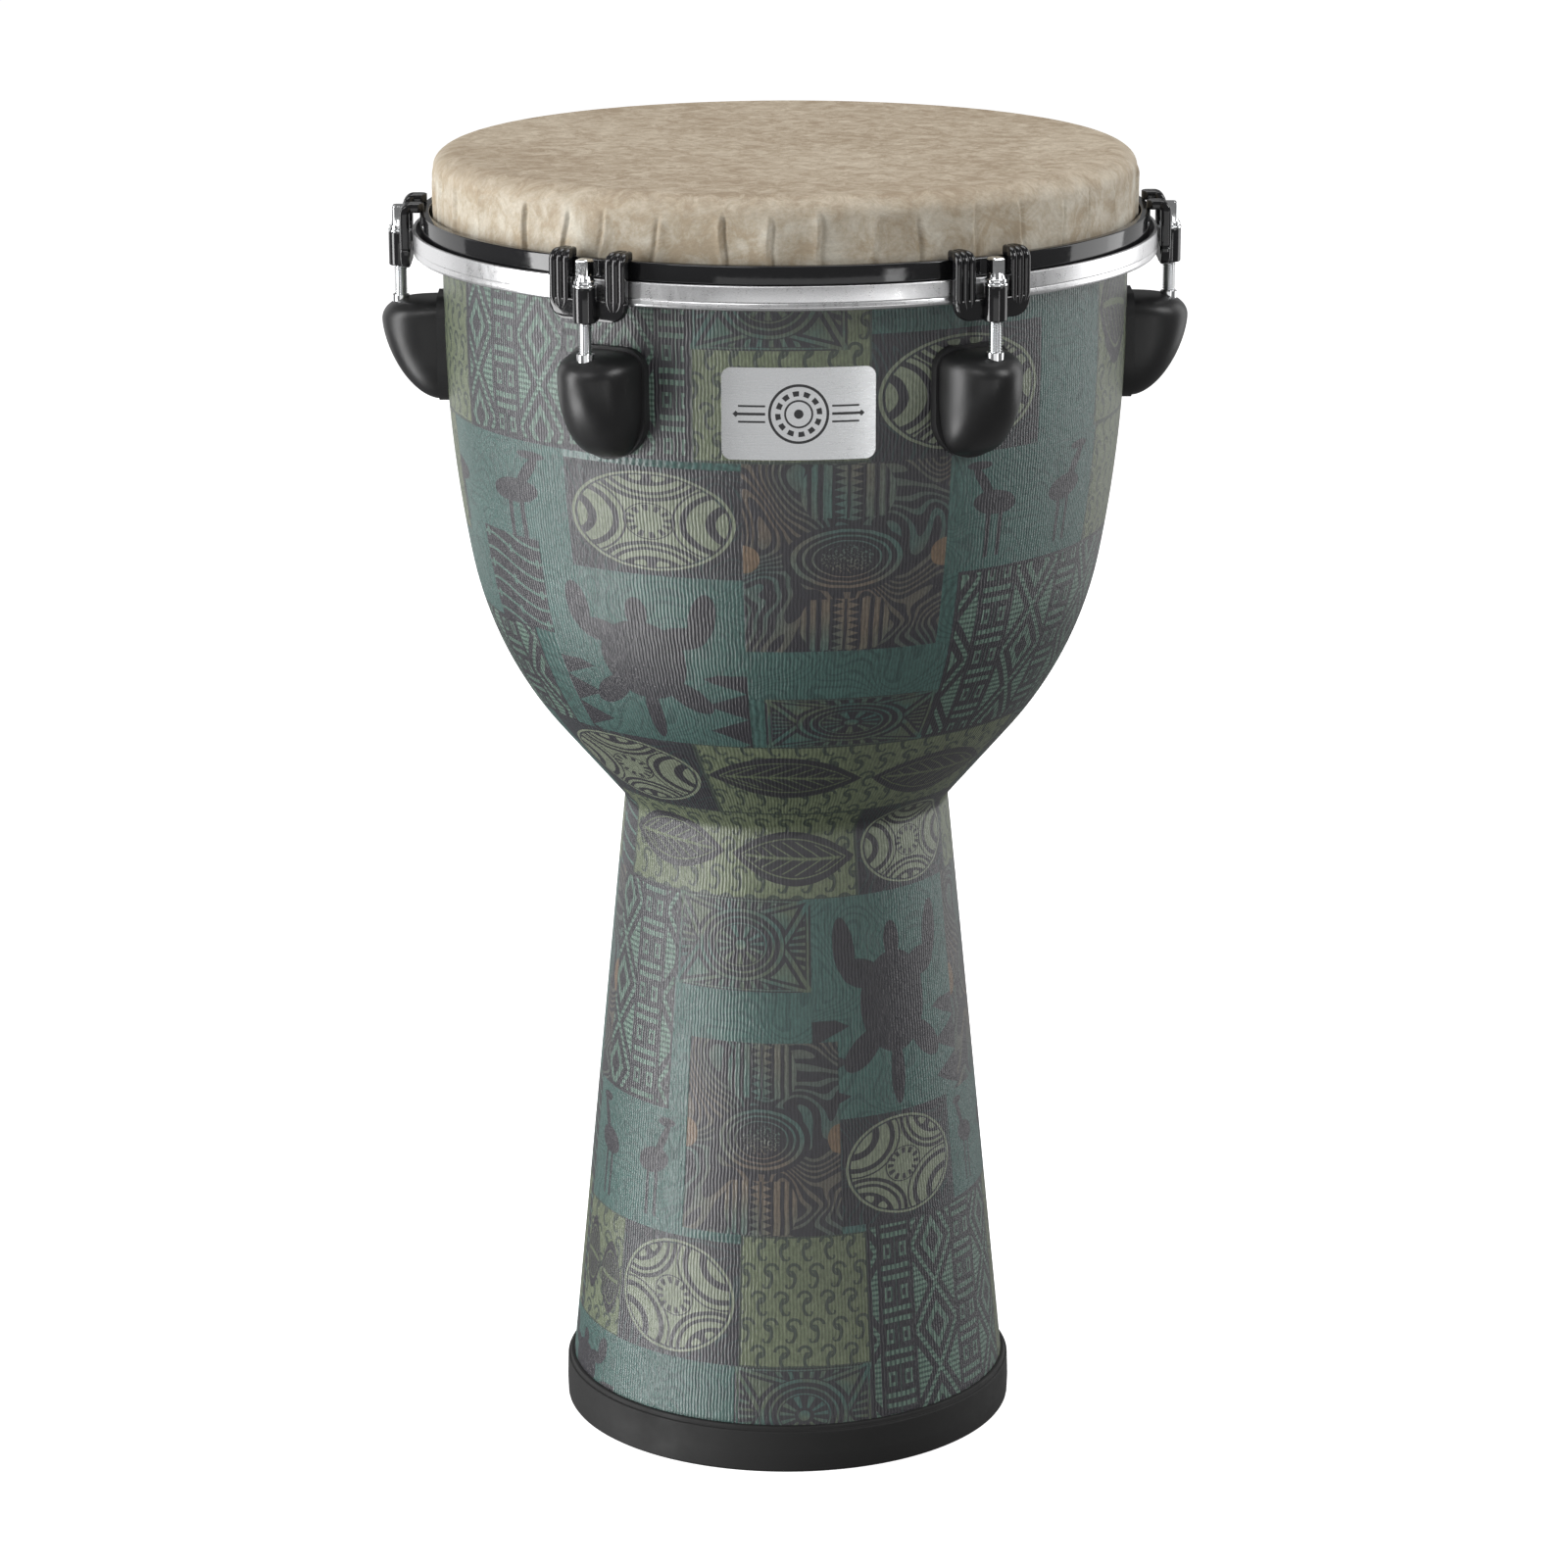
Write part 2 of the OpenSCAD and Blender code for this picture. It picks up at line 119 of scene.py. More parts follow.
class Paint:
    """A material and short names for the nodes that colour it."""

    def __init__(self, name, roughness=0.5, metallic=0.0, specular=0.5):
        self.material = bpy.data.materials.new(name)
        self.material.use_nodes = True
        self.nodes = self.material.node_tree.nodes
        self.links = self.material.node_tree.links
        self.shader = self.nodes["Principled BSDF"]
        values = {"Roughness": roughness, "Metallic": metallic, "Specular IOR Level": specular}
        for key, value in values.items():
            self.shader.inputs[key].default_value = value

    def new(self, kind):
        return self.nodes.new("ShaderNode" + kind)

    def feed(self, socket, value):
        """Links or sets a socket. A tuple is a colour without its alpha."""
        if isinstance(value, Term):
            self.links.new(value.socket, socket)
        elif isinstance(value, bpy.types.NodeSocket):
            self.links.new(value, socket)
        elif isinstance(value, tuple):
            socket.default_value = (*value, 1.0)
        else:
            socket.default_value = value

    def math(self, operation, *values):
        node = self.new("Math")
        node.operation = operation
        for socket, value in zip(node.inputs, values):
            self.feed(socket, value)
        return Term(self, node.outputs[0])

    def split(self, vector):
        node = self.new("SeparateXYZ")
        self.links.new(vector, node.inputs[0])
        return [Term(self, out) for out in node.outputs]

    def join(self, x, y, z=0.0):
        node = self.new("CombineXYZ")
        for socket, value in zip(node.inputs, (x, y, z)):
            self.feed(socket, value)
        return node.outputs[0]

    def uv(self, name):
        node = self.new("UVMap")
        node.uv_map = name
        return node.outputs[0]

    def place(self):
        return self.new("TexCoord").outputs["Object"]

    def noise(self, vector, scale, detail=3.0, roughness=0.55, distortion=0.0):
        node = self.new("TexNoise")
        self.links.new(vector, node.inputs["Vector"])
        for key, value in (("Scale", scale), ("Detail", detail), ("Roughness", roughness),
                           ("Distortion", distortion)):
            node.inputs[key].default_value = value
        return Term(self, node.outputs[0])

    def scaled(self, vector, factors):
        node = self.new("VectorMath")
        node.operation = "MULTIPLY"
        self.links.new(vector, node.inputs[0])
        node.inputs[1].default_value = factors
        return node.outputs[0]

    def ramp(self, value, low, high, out_low=0.0, out_high=1.0):
        """Goes from out_low to out_high as value goes from low to high."""
        node = self.new("MapRange")
        for socket, number in zip(node.inputs, (value, low, high, out_low, out_high)):
            self.feed(socket, number)
        return Term(self, node.outputs[0])

    def mix(self, factor, a, b):
        """Colour a where factor is 0, colour b where it is 1."""
        node = self.new("Mix")
        node.data_type = "RGBA"
        for socket, value in zip((node.inputs[0], node.inputs[6], node.inputs[7]), (factor, a, b)):
            self.feed(socket, value)
        return node.outputs[2]

    def shade(self, colour, value):
        """A colour made darker or lighter by a number near 1."""
        node = self.new("Mix")
        node.data_type = "RGBA"
        node.blend_type = "MULTIPLY"
        node.inputs[0].default_value = 1.0
        self.feed(node.inputs[6], colour)
        self.feed(node.inputs[7], value)
        return node.outputs[2]

    def colour(self, value):
        self.feed(self.shader.inputs["Base Color"], value)

    def rough(self, value):
        self.feed(self.shader.inputs["Roughness"], value)

    def bump(self, height, depth, strength=1.0):
        """height is from 0 to 1, and depth says how far that is, in metres."""
        node = self.new("Bump")
        node.inputs["Strength"].default_value = strength
        node.inputs["Distance"].default_value = depth
        self.feed(node.inputs["Height"], height)
        self.links.new(node.outputs[0], self.shader.inputs["Normal"])


# ---- the printed cloth

TEAL = (0.040, 0.094, 0.084)
DEEP_TEAL = (0.022, 0.056, 0.052)
PALE_TEAL = (0.052, 0.104, 0.092)
STRIPE_TEAL = (0.066, 0.128, 0.105)
HATCH_TEAL = (0.034, 0.066, 0.054)
DARK = (0.0165, 0.0155, 0.0215)
OLIVE = (0.092, 0.114, 0.064)
LIGHT_OLIVE = (0.124, 0.148, 0.088)
INK_OLIVE = (0.030, 0.042, 0.032)
PALE = (0.158, 0.182, 0.128)
MINT = (0.108, 0.176, 0.138)
RUST = (0.108, 0.086, 0.064)
AMBER = (0.135, 0.090, 0.055)
MOSS = (0.070, 0.090, 0.060)


def oval(x, y, cx, cy, a, b):
    """Distance from an oval's centre, which is 1 on its edge."""
    return ((x - cx) / a * ((x - cx) / a) + (y - cy) / b * ((y - cy) / b)).op("SQRT")


def polar(angle, radius=1.0):
    """The two coordinates of a point at an angle in radians and a radius."""
    return radius * cos(angle), radius * sin(angle)


def turned(x, y, cx, cy, degrees):
    """Coordinates about a centre, turned by an angle."""
    c, s = polar(radians(degrees))
    return (x - cx) * c + (y - cy) * s, (y - cy) * c - (x - cx) * s


def contours(paint, x, y, scale, count, width):
    """Fine lines that swirl like the contours of a map."""
    field = paint.noise(paint.join(x, y), scale, detail=1.0, roughness=0.35, distortion=0.6)
    return (field * count).zigzag(0.5) < width


def teal_ground(paint, x, y):
    """Teal with darker swirling lines, under most of the figures."""
    lines = contours(paint, x, y, 0.026, 26, 0.15)
    return paint.mix(lines * 0.75, TEAL, DEEP_TEAL)


def print_plain(paint, p, q, x, y):
    return teal_ground(paint, x, y)


def print_tortoise(paint, p, q, x, y):
    """A plain tortoise shape seen from above, between rows of teeth."""
    side = abs(p)
    body = oval(side, q, 0, 0.0, 0.44, 0.46) < 1
    head = oval(side, q, 0, 0.56, 0.11, 0.17) < 1
    tail = oval(side, q, 0, -0.64, 0.09, 0.30) < 1
    fore = (oval(*turned(side, q, 0.42, 0.30, 8), 0, 0, 0.24, 0.13)
            .op("MINIMUM", oval(*turned(side, q, 0.62, 0.54, 80), 0, 0, 0.28, 0.125))) < 1
    hind = oval(*turned(side, q, 0.42, -0.40, -36), 0, 0, 0.27, 0.13) < 1
    teeth = (side > 0.99 - q.zigzag(0.16) * 2.6) & (q < -0.1)
    shape = body | head | tail | fore | hind | teeth
    return paint.mix(shape, teal_ground(paint, x, y), DARK)


def print_birds(paint, p, q, x, y):
    """Two long-legged shapes built from ovals and bars."""
    side = abs(p) - 0.48
    body = oval(*turned(side, q, 0, 0.12, 24), 0, 0, 0.26, 0.20) < 1
    neck = oval(*turned(side, q, 0.14, 0.45, -20), 0, 0, 0.06, 0.34) < 1
    legs = abs(side).near(0.07, 0.025) & (q < 0.1) & (q > -0.8)
    crest = oval(side, q, 0.20, 0.78, 0.14, 0.07) < 1
    return paint.mix(body | neck | legs | crest, teal_ground(paint, x, y), DARK)


def print_labyrinth(paint, p, q, x, y):
    """Hatched ground under a column of thick diamonds and a column of nested squares."""
    column = (x + 9).wrapped(22)
    across = abs(column)
    up = y.wrapped(19)
    diamond = across / 13 + abs(up) / 19
    middle = across < 13.5
    key = (across - 18).op("ABSOLUTE")
    cell = abs(y.wrapped(9.5))
    square = key.op("MAXIMUM", cell * 0.62)
    strokes = middle & ((diamond < 0.33) | diamond.near(0.73, 0.15) | diamond.near(1.20, 0.13))
    boxes = (1 - middle) * (square.near(2.9, 0.9) | (square < 1.0) | (cell > 8.3))
    bar = across.near(13.6, 1.0)
    upright = x.zigzag(1.15) < 0.62
    level = y.zigzag(1.15) < 0.62
    turn = (diamond > 0.72) & middle
    hatch = turn * level + (1 - turn) * upright
    border = abs(p).op("MAXIMUM", abs(q)) > 0.965
    ground = paint.mix(hatch, HATCH_TEAL, MINT)
    return paint.mix(strokes | boxes | bar | border, ground, DARK)


def hooks(x, y):
    """Rows of small hooked scrolls, each in a cell 8.4 mm wide and 11 mm high."""
    row = (y / 11 + 0.5).op("FLOOR")
    flip = (row.op("MODULO", 2.0).op("ABSOLUTE") * 2 - 1) * -1
    a = (x + row * 4.2).wrapped(4.2) * flip
    b = y.wrapped(5.5)
    curl = oval(a, b, -0.2, 1.9, 2.3, 2.3)
    head = curl.near(1.0, 0.26) & ((a > -0.9) | (b > 1.9))
    stem = (oval(a, b, 4.4, -1.6, 4.9, 4.9).near(1.0, 0.125)) & (b < 1.9) & (a < 1.9)
    foot = oval(a, b, 1.3, -4.2, 1.3, 1.1).near(1.0, 0.32) & (b < -3.6)
    return head | stem | foot


def print_scrolls(paint, p, q, x, y):
    """Olive cloth covered with small scrolls, and a thin border."""
    ground = paint.mix(paint.ramp(paint.noise(paint.join(x, y), 0.3), 0.35, 0.65), OLIVE, LIGHT_OLIVE)
    edge = abs(p).op("MAXIMUM", abs(q)) > 0.975
    return paint.mix(hooks(x / 1.18, y / 1.1) | edge, ground, INK_OLIVE)


def print_leaf(paint, p, q, x, y):
    """Two plain pointed leaves with a midrib over the scroll ground."""
    side = abs(p) - 0.5
    up = abs(q + (p * 2.2).sin() * 0.12)
    lens = up / 0.60 + side * side / 0.22
    lines = (up < 0.03) | ((side * 9 + up * 5).zigzag(0.5) < 0.08)
    leaf = paint.mix((lens < 0.62) & lines, DARK, OLIVE)
    leaf = paint.mix(lens.near(0.72, 0.025), leaf, OLIVE)
    return paint.mix(lens < 1, print_scrolls(paint, p, q, x, y), leaf)


def print_medallion(paint, p, q, x, y):
    """A pale oval with crescents at its four ends and a cog in the middle."""
    e = oval(p, q, 0, 0, 0.93, 0.90)
    side, up = abs(p), abs(q)
    moon = oval(side, q, 0.84, 0, 0.46, 0.54)
    horn = oval(side, q, 1.0, 0, 0.33, 0.36)
    cap = oval(p, up, 0, 1.00, 0.62, 0.60)
    lid = oval(p, up, 0, 1.02, 0.40, 0.34)
    beads = oval(side, up, 0.13, 0.80, 0.075, 0.085)
    centre = oval(p, q, 0, 0, 0.27, 0.31)
    angle = paint.math("ARCTAN2", q, p)
    spokes = (angle * 12).sin() > 0.0
    dark = (moon.near(1.0, 0.085) | horn.near(1.0, 0.17) | (horn < 0.42) | cap.near(1.0, 0.055)
            | cap.near(0.82, 0.045) | lid.near(1.0, 0.09) | ((lid < 1) & (beads > 1))
            | (centre.near(0.80, 0.18) & spokes) | centre.near(1.06, 0.035) | moon.near(1.25, 0.03))
    dark = dark | ((e > 0.80) & (moon > 1.3) & (cap > 1.1))
    figure = paint.mix(dark, PALE, DARK)
    ground = paint.mix(contours(paint, x, y, 0.03, 22, 0.10) * 0.5, DARK, DEEP_TEAL)
    return paint.mix(e.near(0.985, 0.022), paint.mix(e < 0.93, ground, figure), PALE)


def print_medallion_left(paint, p, q, x, y):
    """The medallion tilted to the left, as on the lower stem."""
    return print_medallion(paint, *turned(p, q, 0, 0, 38), x, y)


def print_medallion_right(paint, p, q, x, y):
    """The medallion tilted to the right, as half way up the stem."""
    return print_medallion(paint, *turned(p, q, 0, 0, -38), x, y)


def print_rosette(paint, p, q, x, y):
    """Rings and spokes inside a hollow-sided square, with rays out to the border."""
    side, up = abs(p), abs(q)
    r = oval(p, q, 0, 0, 0.60, 0.74)
    star = side.op("MAXIMUM", up) - side.op("MINIMUM", up) * 0.40
    angle = paint.math("ARCTAN2", q, p)
    lines = (r.near(1.0, 0.045) | r.near(0.80, 0.03) | r.near(0.62, 0.02) | (r < 0.14)
             | (r.near(0.40, 0.17) & ((angle * 11).sin() > 0.3)))
    band = (r > 1.08) & star.near(0.60, 0.035)
    rays = (r > 1.08) & (star > 0.68) & ((angle * 36).sin() > 0.35) & (side.op("MAXIMUM", up) < 0.92)
    corner = (r > 1.16) & (star < 0.50)
    border = side.op("MAXIMUM", up).near(0.955, 0.016)
    tone = paint.mix(paint.ramp(paint.noise(paint.join(x, y), 0.05), 0.4, 0.6), TEAL, MOSS)
    return paint.mix(lines | band | rays | corner | border, DARK, tone)


def print_columns(paint, p, q, x, y):
    """Barred barrels above and below a ringed oval, with swirling lines on both sides."""
    side, up = abs(p), abs(q)
    barrel = (side < 0.46 - (up - 0.70) * (up - 0.70) * 1.6) & (up > 0.43) & (up < 0.985)
    bars = side.near(0.20, 0.04) | side.near(0.32, 0.028) | side.near(0.42, 0.028)
    teeth = (side < 0.135) & (side > 0.015) & (side < 0.02 + (q * 13).zigzag(0.5) * 0.24)
    ring = oval(p, q, 0, 0, 0.52, 0.30)
    rings = ring.near(1.0, 0.05) | ring.near(0.82, 0.03) | ring.near(0.64, 0.02)
    burst = (ring < 0.5) & (paint.noise(paint.join(x, y), 0.9, detail=1.0) > 0.56)
    beside = contours(paint, x, y, 0.024, 24, 0.20) & (ring > 1.2) & (1 - barrel)
    sun = oval(side, q, 1.0, 0.0, 0.16, 0.15) < 1
    patchy = paint.ramp(paint.noise(paint.join(x, y), 0.022, detail=1.0), 0.38, 0.62)
    tone = paint.mix(patchy, PALE_TEAL, RUST)
    figure = paint.mix((barrel & (bars | teeth)) | rings | burst, DARK, tone)
    figure = paint.mix(beside * 0.75, figure, tone)
    return paint.mix(sun, figure, AMBER)


def print_stripes(paint, p, q, x, y):
    """Bent parallel lines with short knots between them."""
    bent = y + (x * 0.09).sin() * 4.0
    lines = bent.zigzag(3.4) < 0.65
    knots = (bent.zigzag(6.8) < 1.9) & (x.zigzag(9) < 1.0)
    return paint.mix(lines | knots, DARK, STRIPE_TEAL)


# A print takes the paint, p and q that run from -1 to 1 across its patch, and x and y in millimetres.
PRINTS = {made.__name__.removeprefix("print_"): made for made in (
    print_plain, print_tortoise, print_birds, print_labyrinth, print_scrolls, print_leaf, print_medallion,
    print_rosette, print_medallion_left, print_medallion_right, print_columns, print_stripes,
)}
RIB_PITCH = 1.5


def cloth_paint(kind):
    """Printed cloth under satin varnish: the print, upright ribs of yarn, and fine specks in its gloss."""
    paint = Paint("print_" + kind, roughness=0.4, specular=1.0)
    cloth = paint.scaled(paint.uv("cloth"), (1 / MM, 1 / MM, 0.0))
    wander = paint.noise(cloth, 0.09, detail=1.0) - 0.5
    x, y, _ = paint.split(cloth)
    p, q, _ = paint.split(paint.uv("patch"))
    drawn = PRINTS[kind](paint, p + wander * 0.03, q + wander * 0.03, x + wander * 0.9, y + wander * 0.9)
    lean = (y * 0.55).sin() * 0.55
    rib = (x * (tau / RIB_PITCH) + lean).sin()
    dash = paint.noise(paint.join(x, y * 0.38), 0.85, detail=2.0, roughness=0.6) - 0.5
    speck = paint.noise(cloth, 0.75, detail=3.0, roughness=0.75)
    fade = paint.noise(cloth, 0.02, detail=2.0)
    tone = 0.94 + rib * 0.16 + dash * 1.1 + (speck - 0.5) * 0.7 + (fade - 0.5) * 0.4
    paint.colour(paint.shade(drawn, tone))
    paint.rough(paint.ramp(speck, 0.3, 0.75, 0.28, 0.48))
    paint.bump(0.5 + rib * 0.22 + dash * 0.8 + (speck - 0.5) * 0.8, 0.00032, 0.9)
    return paint.material


# ---- other materials


def film_paint():
    """Fibrous synthetic skin: tan with pale wisps, and paler and cloudier on its skirt."""
    paint = Paint("film", roughness=0.6, specular=0.3)
    flat = paint.uv("film")
    u, v, _ = paint.split(flat)
    reach = (u * u + v * v).op("SQRT")
    on_skirt = paint.ramp(reach, 0.139, 0.153)
    wisps = paint.noise(flat, 115.0, detail=9.0, roughness=0.82, distortion=0.7)
    clouds = paint.noise(flat, 13.0, detail=4.0, roughness=0.6, distortion=0.5)
    fibres = paint.noise(paint.scaled(flat, (1.0, 2.0, 1.0)), 380.0, detail=4.0, roughness=0.8)
    blots = paint.noise(flat, 74.0, detail=8.0, roughness=0.72, distortion=0.4)
    top = paint.mix(paint.ramp(wisps * 0.78 + clouds * 0.22, 0.43, 0.59),
                    (0.350, 0.272, 0.188), (0.560, 0.482, 0.372))
    side = paint.mix(paint.ramp(blots * 0.8 + clouds * 0.2, 0.42, 0.60),
                     (0.385, 0.315, 0.224), (0.565, 0.525, 0.440))
    skin = paint.mix(on_skirt, top, side)
    paint.colour(paint.shade(skin, paint.ramp(fibres, 0.25, 0.75, 0.84, 1.15)))
    paint.bump(fibres * 0.6 + wisps * 0.4, 0.00014, 0.45)
    return paint.material


def brushed_paint(name, colour, roughness, scale, stretch):
    """Metal with fine scratches, drawn out along the directions in which stretch is small."""
    paint = Paint(name, roughness=roughness, metallic=1.0)
    lines = paint.noise(paint.scaled(paint.place(), stretch), scale, detail=4.0, roughness=0.7)
    wear = paint.noise(paint.place(), 60.0, detail=3.0)
    paint.colour(paint.shade(colour, paint.ramp(lines, 0.2, 0.8, 0.82, 1.1)))
    paint.rough(paint.ramp(lines * 0.7 + wear * 0.3, 0.3, 0.7, roughness * 0.75, roughness * 1.35))
    paint.bump(lines, 0.00002, 0.5)
    return paint.material


def hoop_paint():
    """Aluminium with scratches that run round the hoop."""
    paint = Paint("hoop_aluminium", roughness=0.3, metallic=1.0)
    x, y, z = paint.split(paint.place())
    angle = paint.math("ARCTAN2", y, x)
    spot = paint.join(angle * 0.30, z * 4.0)
    lines = paint.noise(spot, 520.0, detail=4.0, roughness=0.75)
    scuffs = paint.noise(paint.join(angle * 1.2, z * 3.0), 40.0, detail=5.0, roughness=0.7)
    paint.colour(paint.shade((0.89, 0.89, 0.90), paint.ramp(lines, 0.25, 0.75, 0.84, 1.05)))
    paint.rough(paint.ramp(lines * 0.5 + scuffs * 0.5, 0.32, 0.68, 0.22, 0.42))
    paint.bump(lines, 0.00003, 0.4)
    return paint.material


def enamel_paint():
    """Deep glossy black with slight orange peel."""
    paint = Paint("black_enamel", roughness=0.07, specular=0.62)
    peel = paint.noise(paint.place(), 500.0, detail=1.0)
    dust = paint.noise(paint.place(), 2600.0, detail=2.0)
    paint.colour(paint.mix(paint.ramp(dust, 0.72, 0.86), (0.010, 0.010, 0.011), (0.055, 0.055, 0.058)))
    paint.rough(paint.ramp(peel, 0.3, 0.7, 0.05, 0.11))
    paint.bump(peel, 0.00002, 0.2)
    return paint.material


def chrome_paint():
    """Bright chrome with a faint haze."""
    paint = Paint("chrome", roughness=0.08, metallic=1.0)
    haze = paint.noise(paint.place(), 700.0, detail=3.0)
    paint.colour(paint.shade((0.86, 0.87, 0.88), paint.ramp(haze, 0.3, 0.7, 0.94, 1.03)))
    paint.rough(paint.ramp(haze, 0.35, 0.75, 0.05, 0.16))
    return paint.material


def moulded_paint(name, colour, roughness, grain, depth):
    """Moulded plastic or rubber with a fine grain and slight handling marks."""
    paint = Paint(name, roughness=roughness, specular=0.45)
    pores = paint.noise(paint.place(), grain, detail=2.0)
    rubbed = paint.noise(paint.place(), 55.0, detail=3.0, roughness=0.6)
    paint.colour(paint.shade(colour, paint.ramp(rubbed, 0.3, 0.7, 0.85, 1.2)))
    paint.rough(paint.ramp(rubbed, 0.3, 0.7, roughness * 0.88, roughness * 1.15))
    paint.bump(pores, depth, 0.4)
    return paint.material


def board_paint():
    """Pressed fibre board, bare inside the shell."""
    paint = Paint("fibre_board", roughness=0.75, specular=0.3)
    fibres = paint.noise(paint.scaled(paint.place(), (1.0, 1.0, 3.0)), 220.0, detail=5.0, roughness=0.7)
    paint.colour(paint.mix(paint.ramp(fibres, 0.3, 0.7), (0.080, 0.050, 0.031), (0.205, 0.140, 0.090)))
    paint.bump(fibres, 0.0003, 0.5)
    return paint.material


def badge_paint():
    """Brushed plate with a plain printed emblem: a ring of beads between two bars."""
    paint = Paint("badge", roughness=0.28, metallic=1.0)
    place = paint.place()
    lines = paint.noise(paint.scaled(place, (0.04, 1.0, 2.2)), 900.0, detail=4.0, roughness=0.7)
    low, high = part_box("badge_plate")
    middle = (low + high) / 2
    x, _, z = paint.split(place)
    a = (x - middle.x) / MM
    b = (z - middle.z) / MM
    r = oval(a, b, 0, 0, 1, 1)
    angle = paint.math("ARCTAN2", b, a)
    beads = r.near(8.3, 1.05) & ((angle * 12).sin() > -0.2)
    rings = r.near(11.6, 0.55) | r.near(5.4, 0.4) | (r < 1.9)
    bars = (abs(b).near(0.0, 0.55) | abs(b).near(3.2, 0.4)) & abs(a).near(18.7, 5.4)
    tips = (abs(a).near(25.0, 1.3)) & (abs(b) + abs(abs(a) - 25.0) < 1.3)
    ink = beads | rings | bars | tips
    plate = paint.shade((0.66, 0.67, 0.68), paint.ramp(lines, 0.25, 0.75, 0.86, 1.08))
    paint.colour(paint.mix(ink, plate, (0.018, 0.018, 0.020)))
    paint.feed(paint.shader.inputs["Metallic"], 1 - ink)
    paint.rough(paint.ramp(lines, 0.3, 0.7, 0.22, 0.36))
    paint.bump(lines, 0.00001, 0.3)
    return paint.material


FILM = film_paint()
ALUMINIUM = hoop_paint()
ENAMEL = enamel_paint()
CHROME = chrome_paint()
CASING = moulded_paint("casing_plastic", (0.0125, 0.0125, 0.013), 0.36, 2400.0, 0.00003)
PAD = moulded_paint("pad_plastic", (0.016, 0.016, 0.017), 0.5, 1800.0, 0.00004)
RUBBER = moulded_paint("foot_rubber", (0.0095, 0.0095, 0.0095), 0.70, 1500.0, 0.00006)
STEEL = brushed_paint("zinc_steel", (0.60, 0.60, 0.60), 0.32, 500.0, (1.0, 1.0, 2.0))
BOARD = board_paint()
BADGE = badge_paint()

# ---- mesh helpers


def placed(name, data):
    """A new object in the scene for a mesh, a light or a camera."""
    made = bpy.data.objects.new(name, data)
    bpy.context.scene.collection.objects.link(made)
    return made


def piece(name, mesh, material, smooth_angle=35):
    """An object for a finished mesh, smooth but for edges sharper than an angle."""
    mesh.name = name
    mesh.materials.append(material)
    mesh.shade_smooth()
    mesh.set_sharp_from_angle(angle=radians(smooth_angle))
    return placed(name, mesh)


def from_bmesh(bm):
    """A mesh from a bmesh, with its faces turned outward."""
    bmesh.ops.recalc_face_normals(bm, faces=bm.faces)
    mesh = bpy.data.meshes.new("part")
    bm.to_mesh(mesh)
    bm.free()
    return mesh


def loft(bm, rings, closed=False, caps=True):
    """Faces between rings of as many points each. closed joins the last ring to the first."""
    made = [[bm.verts.new(point) for point in ring] for ring in rings]
    pairs = list(zip(made, made[1:])) + ([(made[-1], made[0])] if closed else [])
    count = len(made[0])
    for low, high in pairs:
        for k in range(count):
            after = (k + 1) % count
            bm.faces.new((low[k], low[after], high[after], high[k]))
    if caps and not closed:
        bm.faces.new(made[0][::-1])
        bm.faces.new(made[-1])


def lofted(rings, closed=False):
    """A mesh lofted through rings."""
    bm = bmesh.new()
    loft(bm, rings, closed)
    return from_bmesh(bm)


def filleted(corners, steps=4, limit=0.49):
    """An outline with its corners rounded. Each corner is x, y and the radius of its rounding.

    A rounding takes up no more than the limit's share of the sides beside it.
    """
    outline = []
    for k, (x, y, radius) in enumerate(corners):
        here = Vector((x, y))
        before = Vector(corners[k - 1][:2]) - here
        after = Vector(corners[(k + 1) % len(corners)][:2]) - here
        if radius <= 0:
            outline.append(tuple(here))
            continue
        half = before.angle(after) / 2
        reach = min(radius / tan(half), before.length * limit, after.length * limit)
        centre = here + (before.normalized() + after.normalized()).normalized() * reach / cos(half)
        start = here + before.normalized() * reach - centre
        end = here + after.normalized() * reach - centre
        turn = start.angle_signed(end)
        for step in range(steps + 1):
            arm = start.copy()
            arm.rotate(Matrix.Rotation(-turn * step / steps, 2))
            outline.append(tuple(centre + arm))
    return outline


def lathe(outline, steps=256, centre=(0.0, 0.0)):
    """A closed outline of radius and height, in millimetres, turned about an upright axis."""
    rings = []
    for k in range(steps):
        c, s = polar(tau * k / steps)
        rings.append([(centre[0] + r * c * MM, centre[1] + r * s * MM, z * MM) for r, z in outline])
    return lofted(rings, closed=True)


def rod_point(x, y, z):
    """A point in metres, from millimetres sideways and outward from the front rod's line, and a height."""
    return (x * MM, (y - ROD_CIRCLE) * MM, z * MM)


def drilled(mesh, bore):
    """The mesh with a round hole along the front rod. The bore's steps are radius and height, going up."""
    turns = [tau * k / BORE_SIDES for k in range(BORE_SIDES)]
    body = placed("drilled", mesh)
    drill = placed("drill", lofted([[rod_point(*polar(a, r), z) for a in turns] for r, z in bore]))
    cut = body.modifiers.new("bore", "BOOLEAN")
    cut.object = drill
    cut.operation = "DIFFERENCE"
    cut.solver = "EXACT"
    done = bpy.data.meshes.new_from_object(body.evaluated_get(bpy.context.evaluated_depsgraph_get()))
    for thing in (body, drill):
        bpy.data.objects.remove(thing)
    return done


def joined(meshes):
    """Several meshes as one."""
    bm = bmesh.new()
    for mesh in meshes:
        bm.from_mesh(mesh)
        bpy.data.meshes.remove(mesh)
    mesh = bpy.data.meshes.new("joined")
    bm.to_mesh(mesh)
    bm.free()
    return mesh


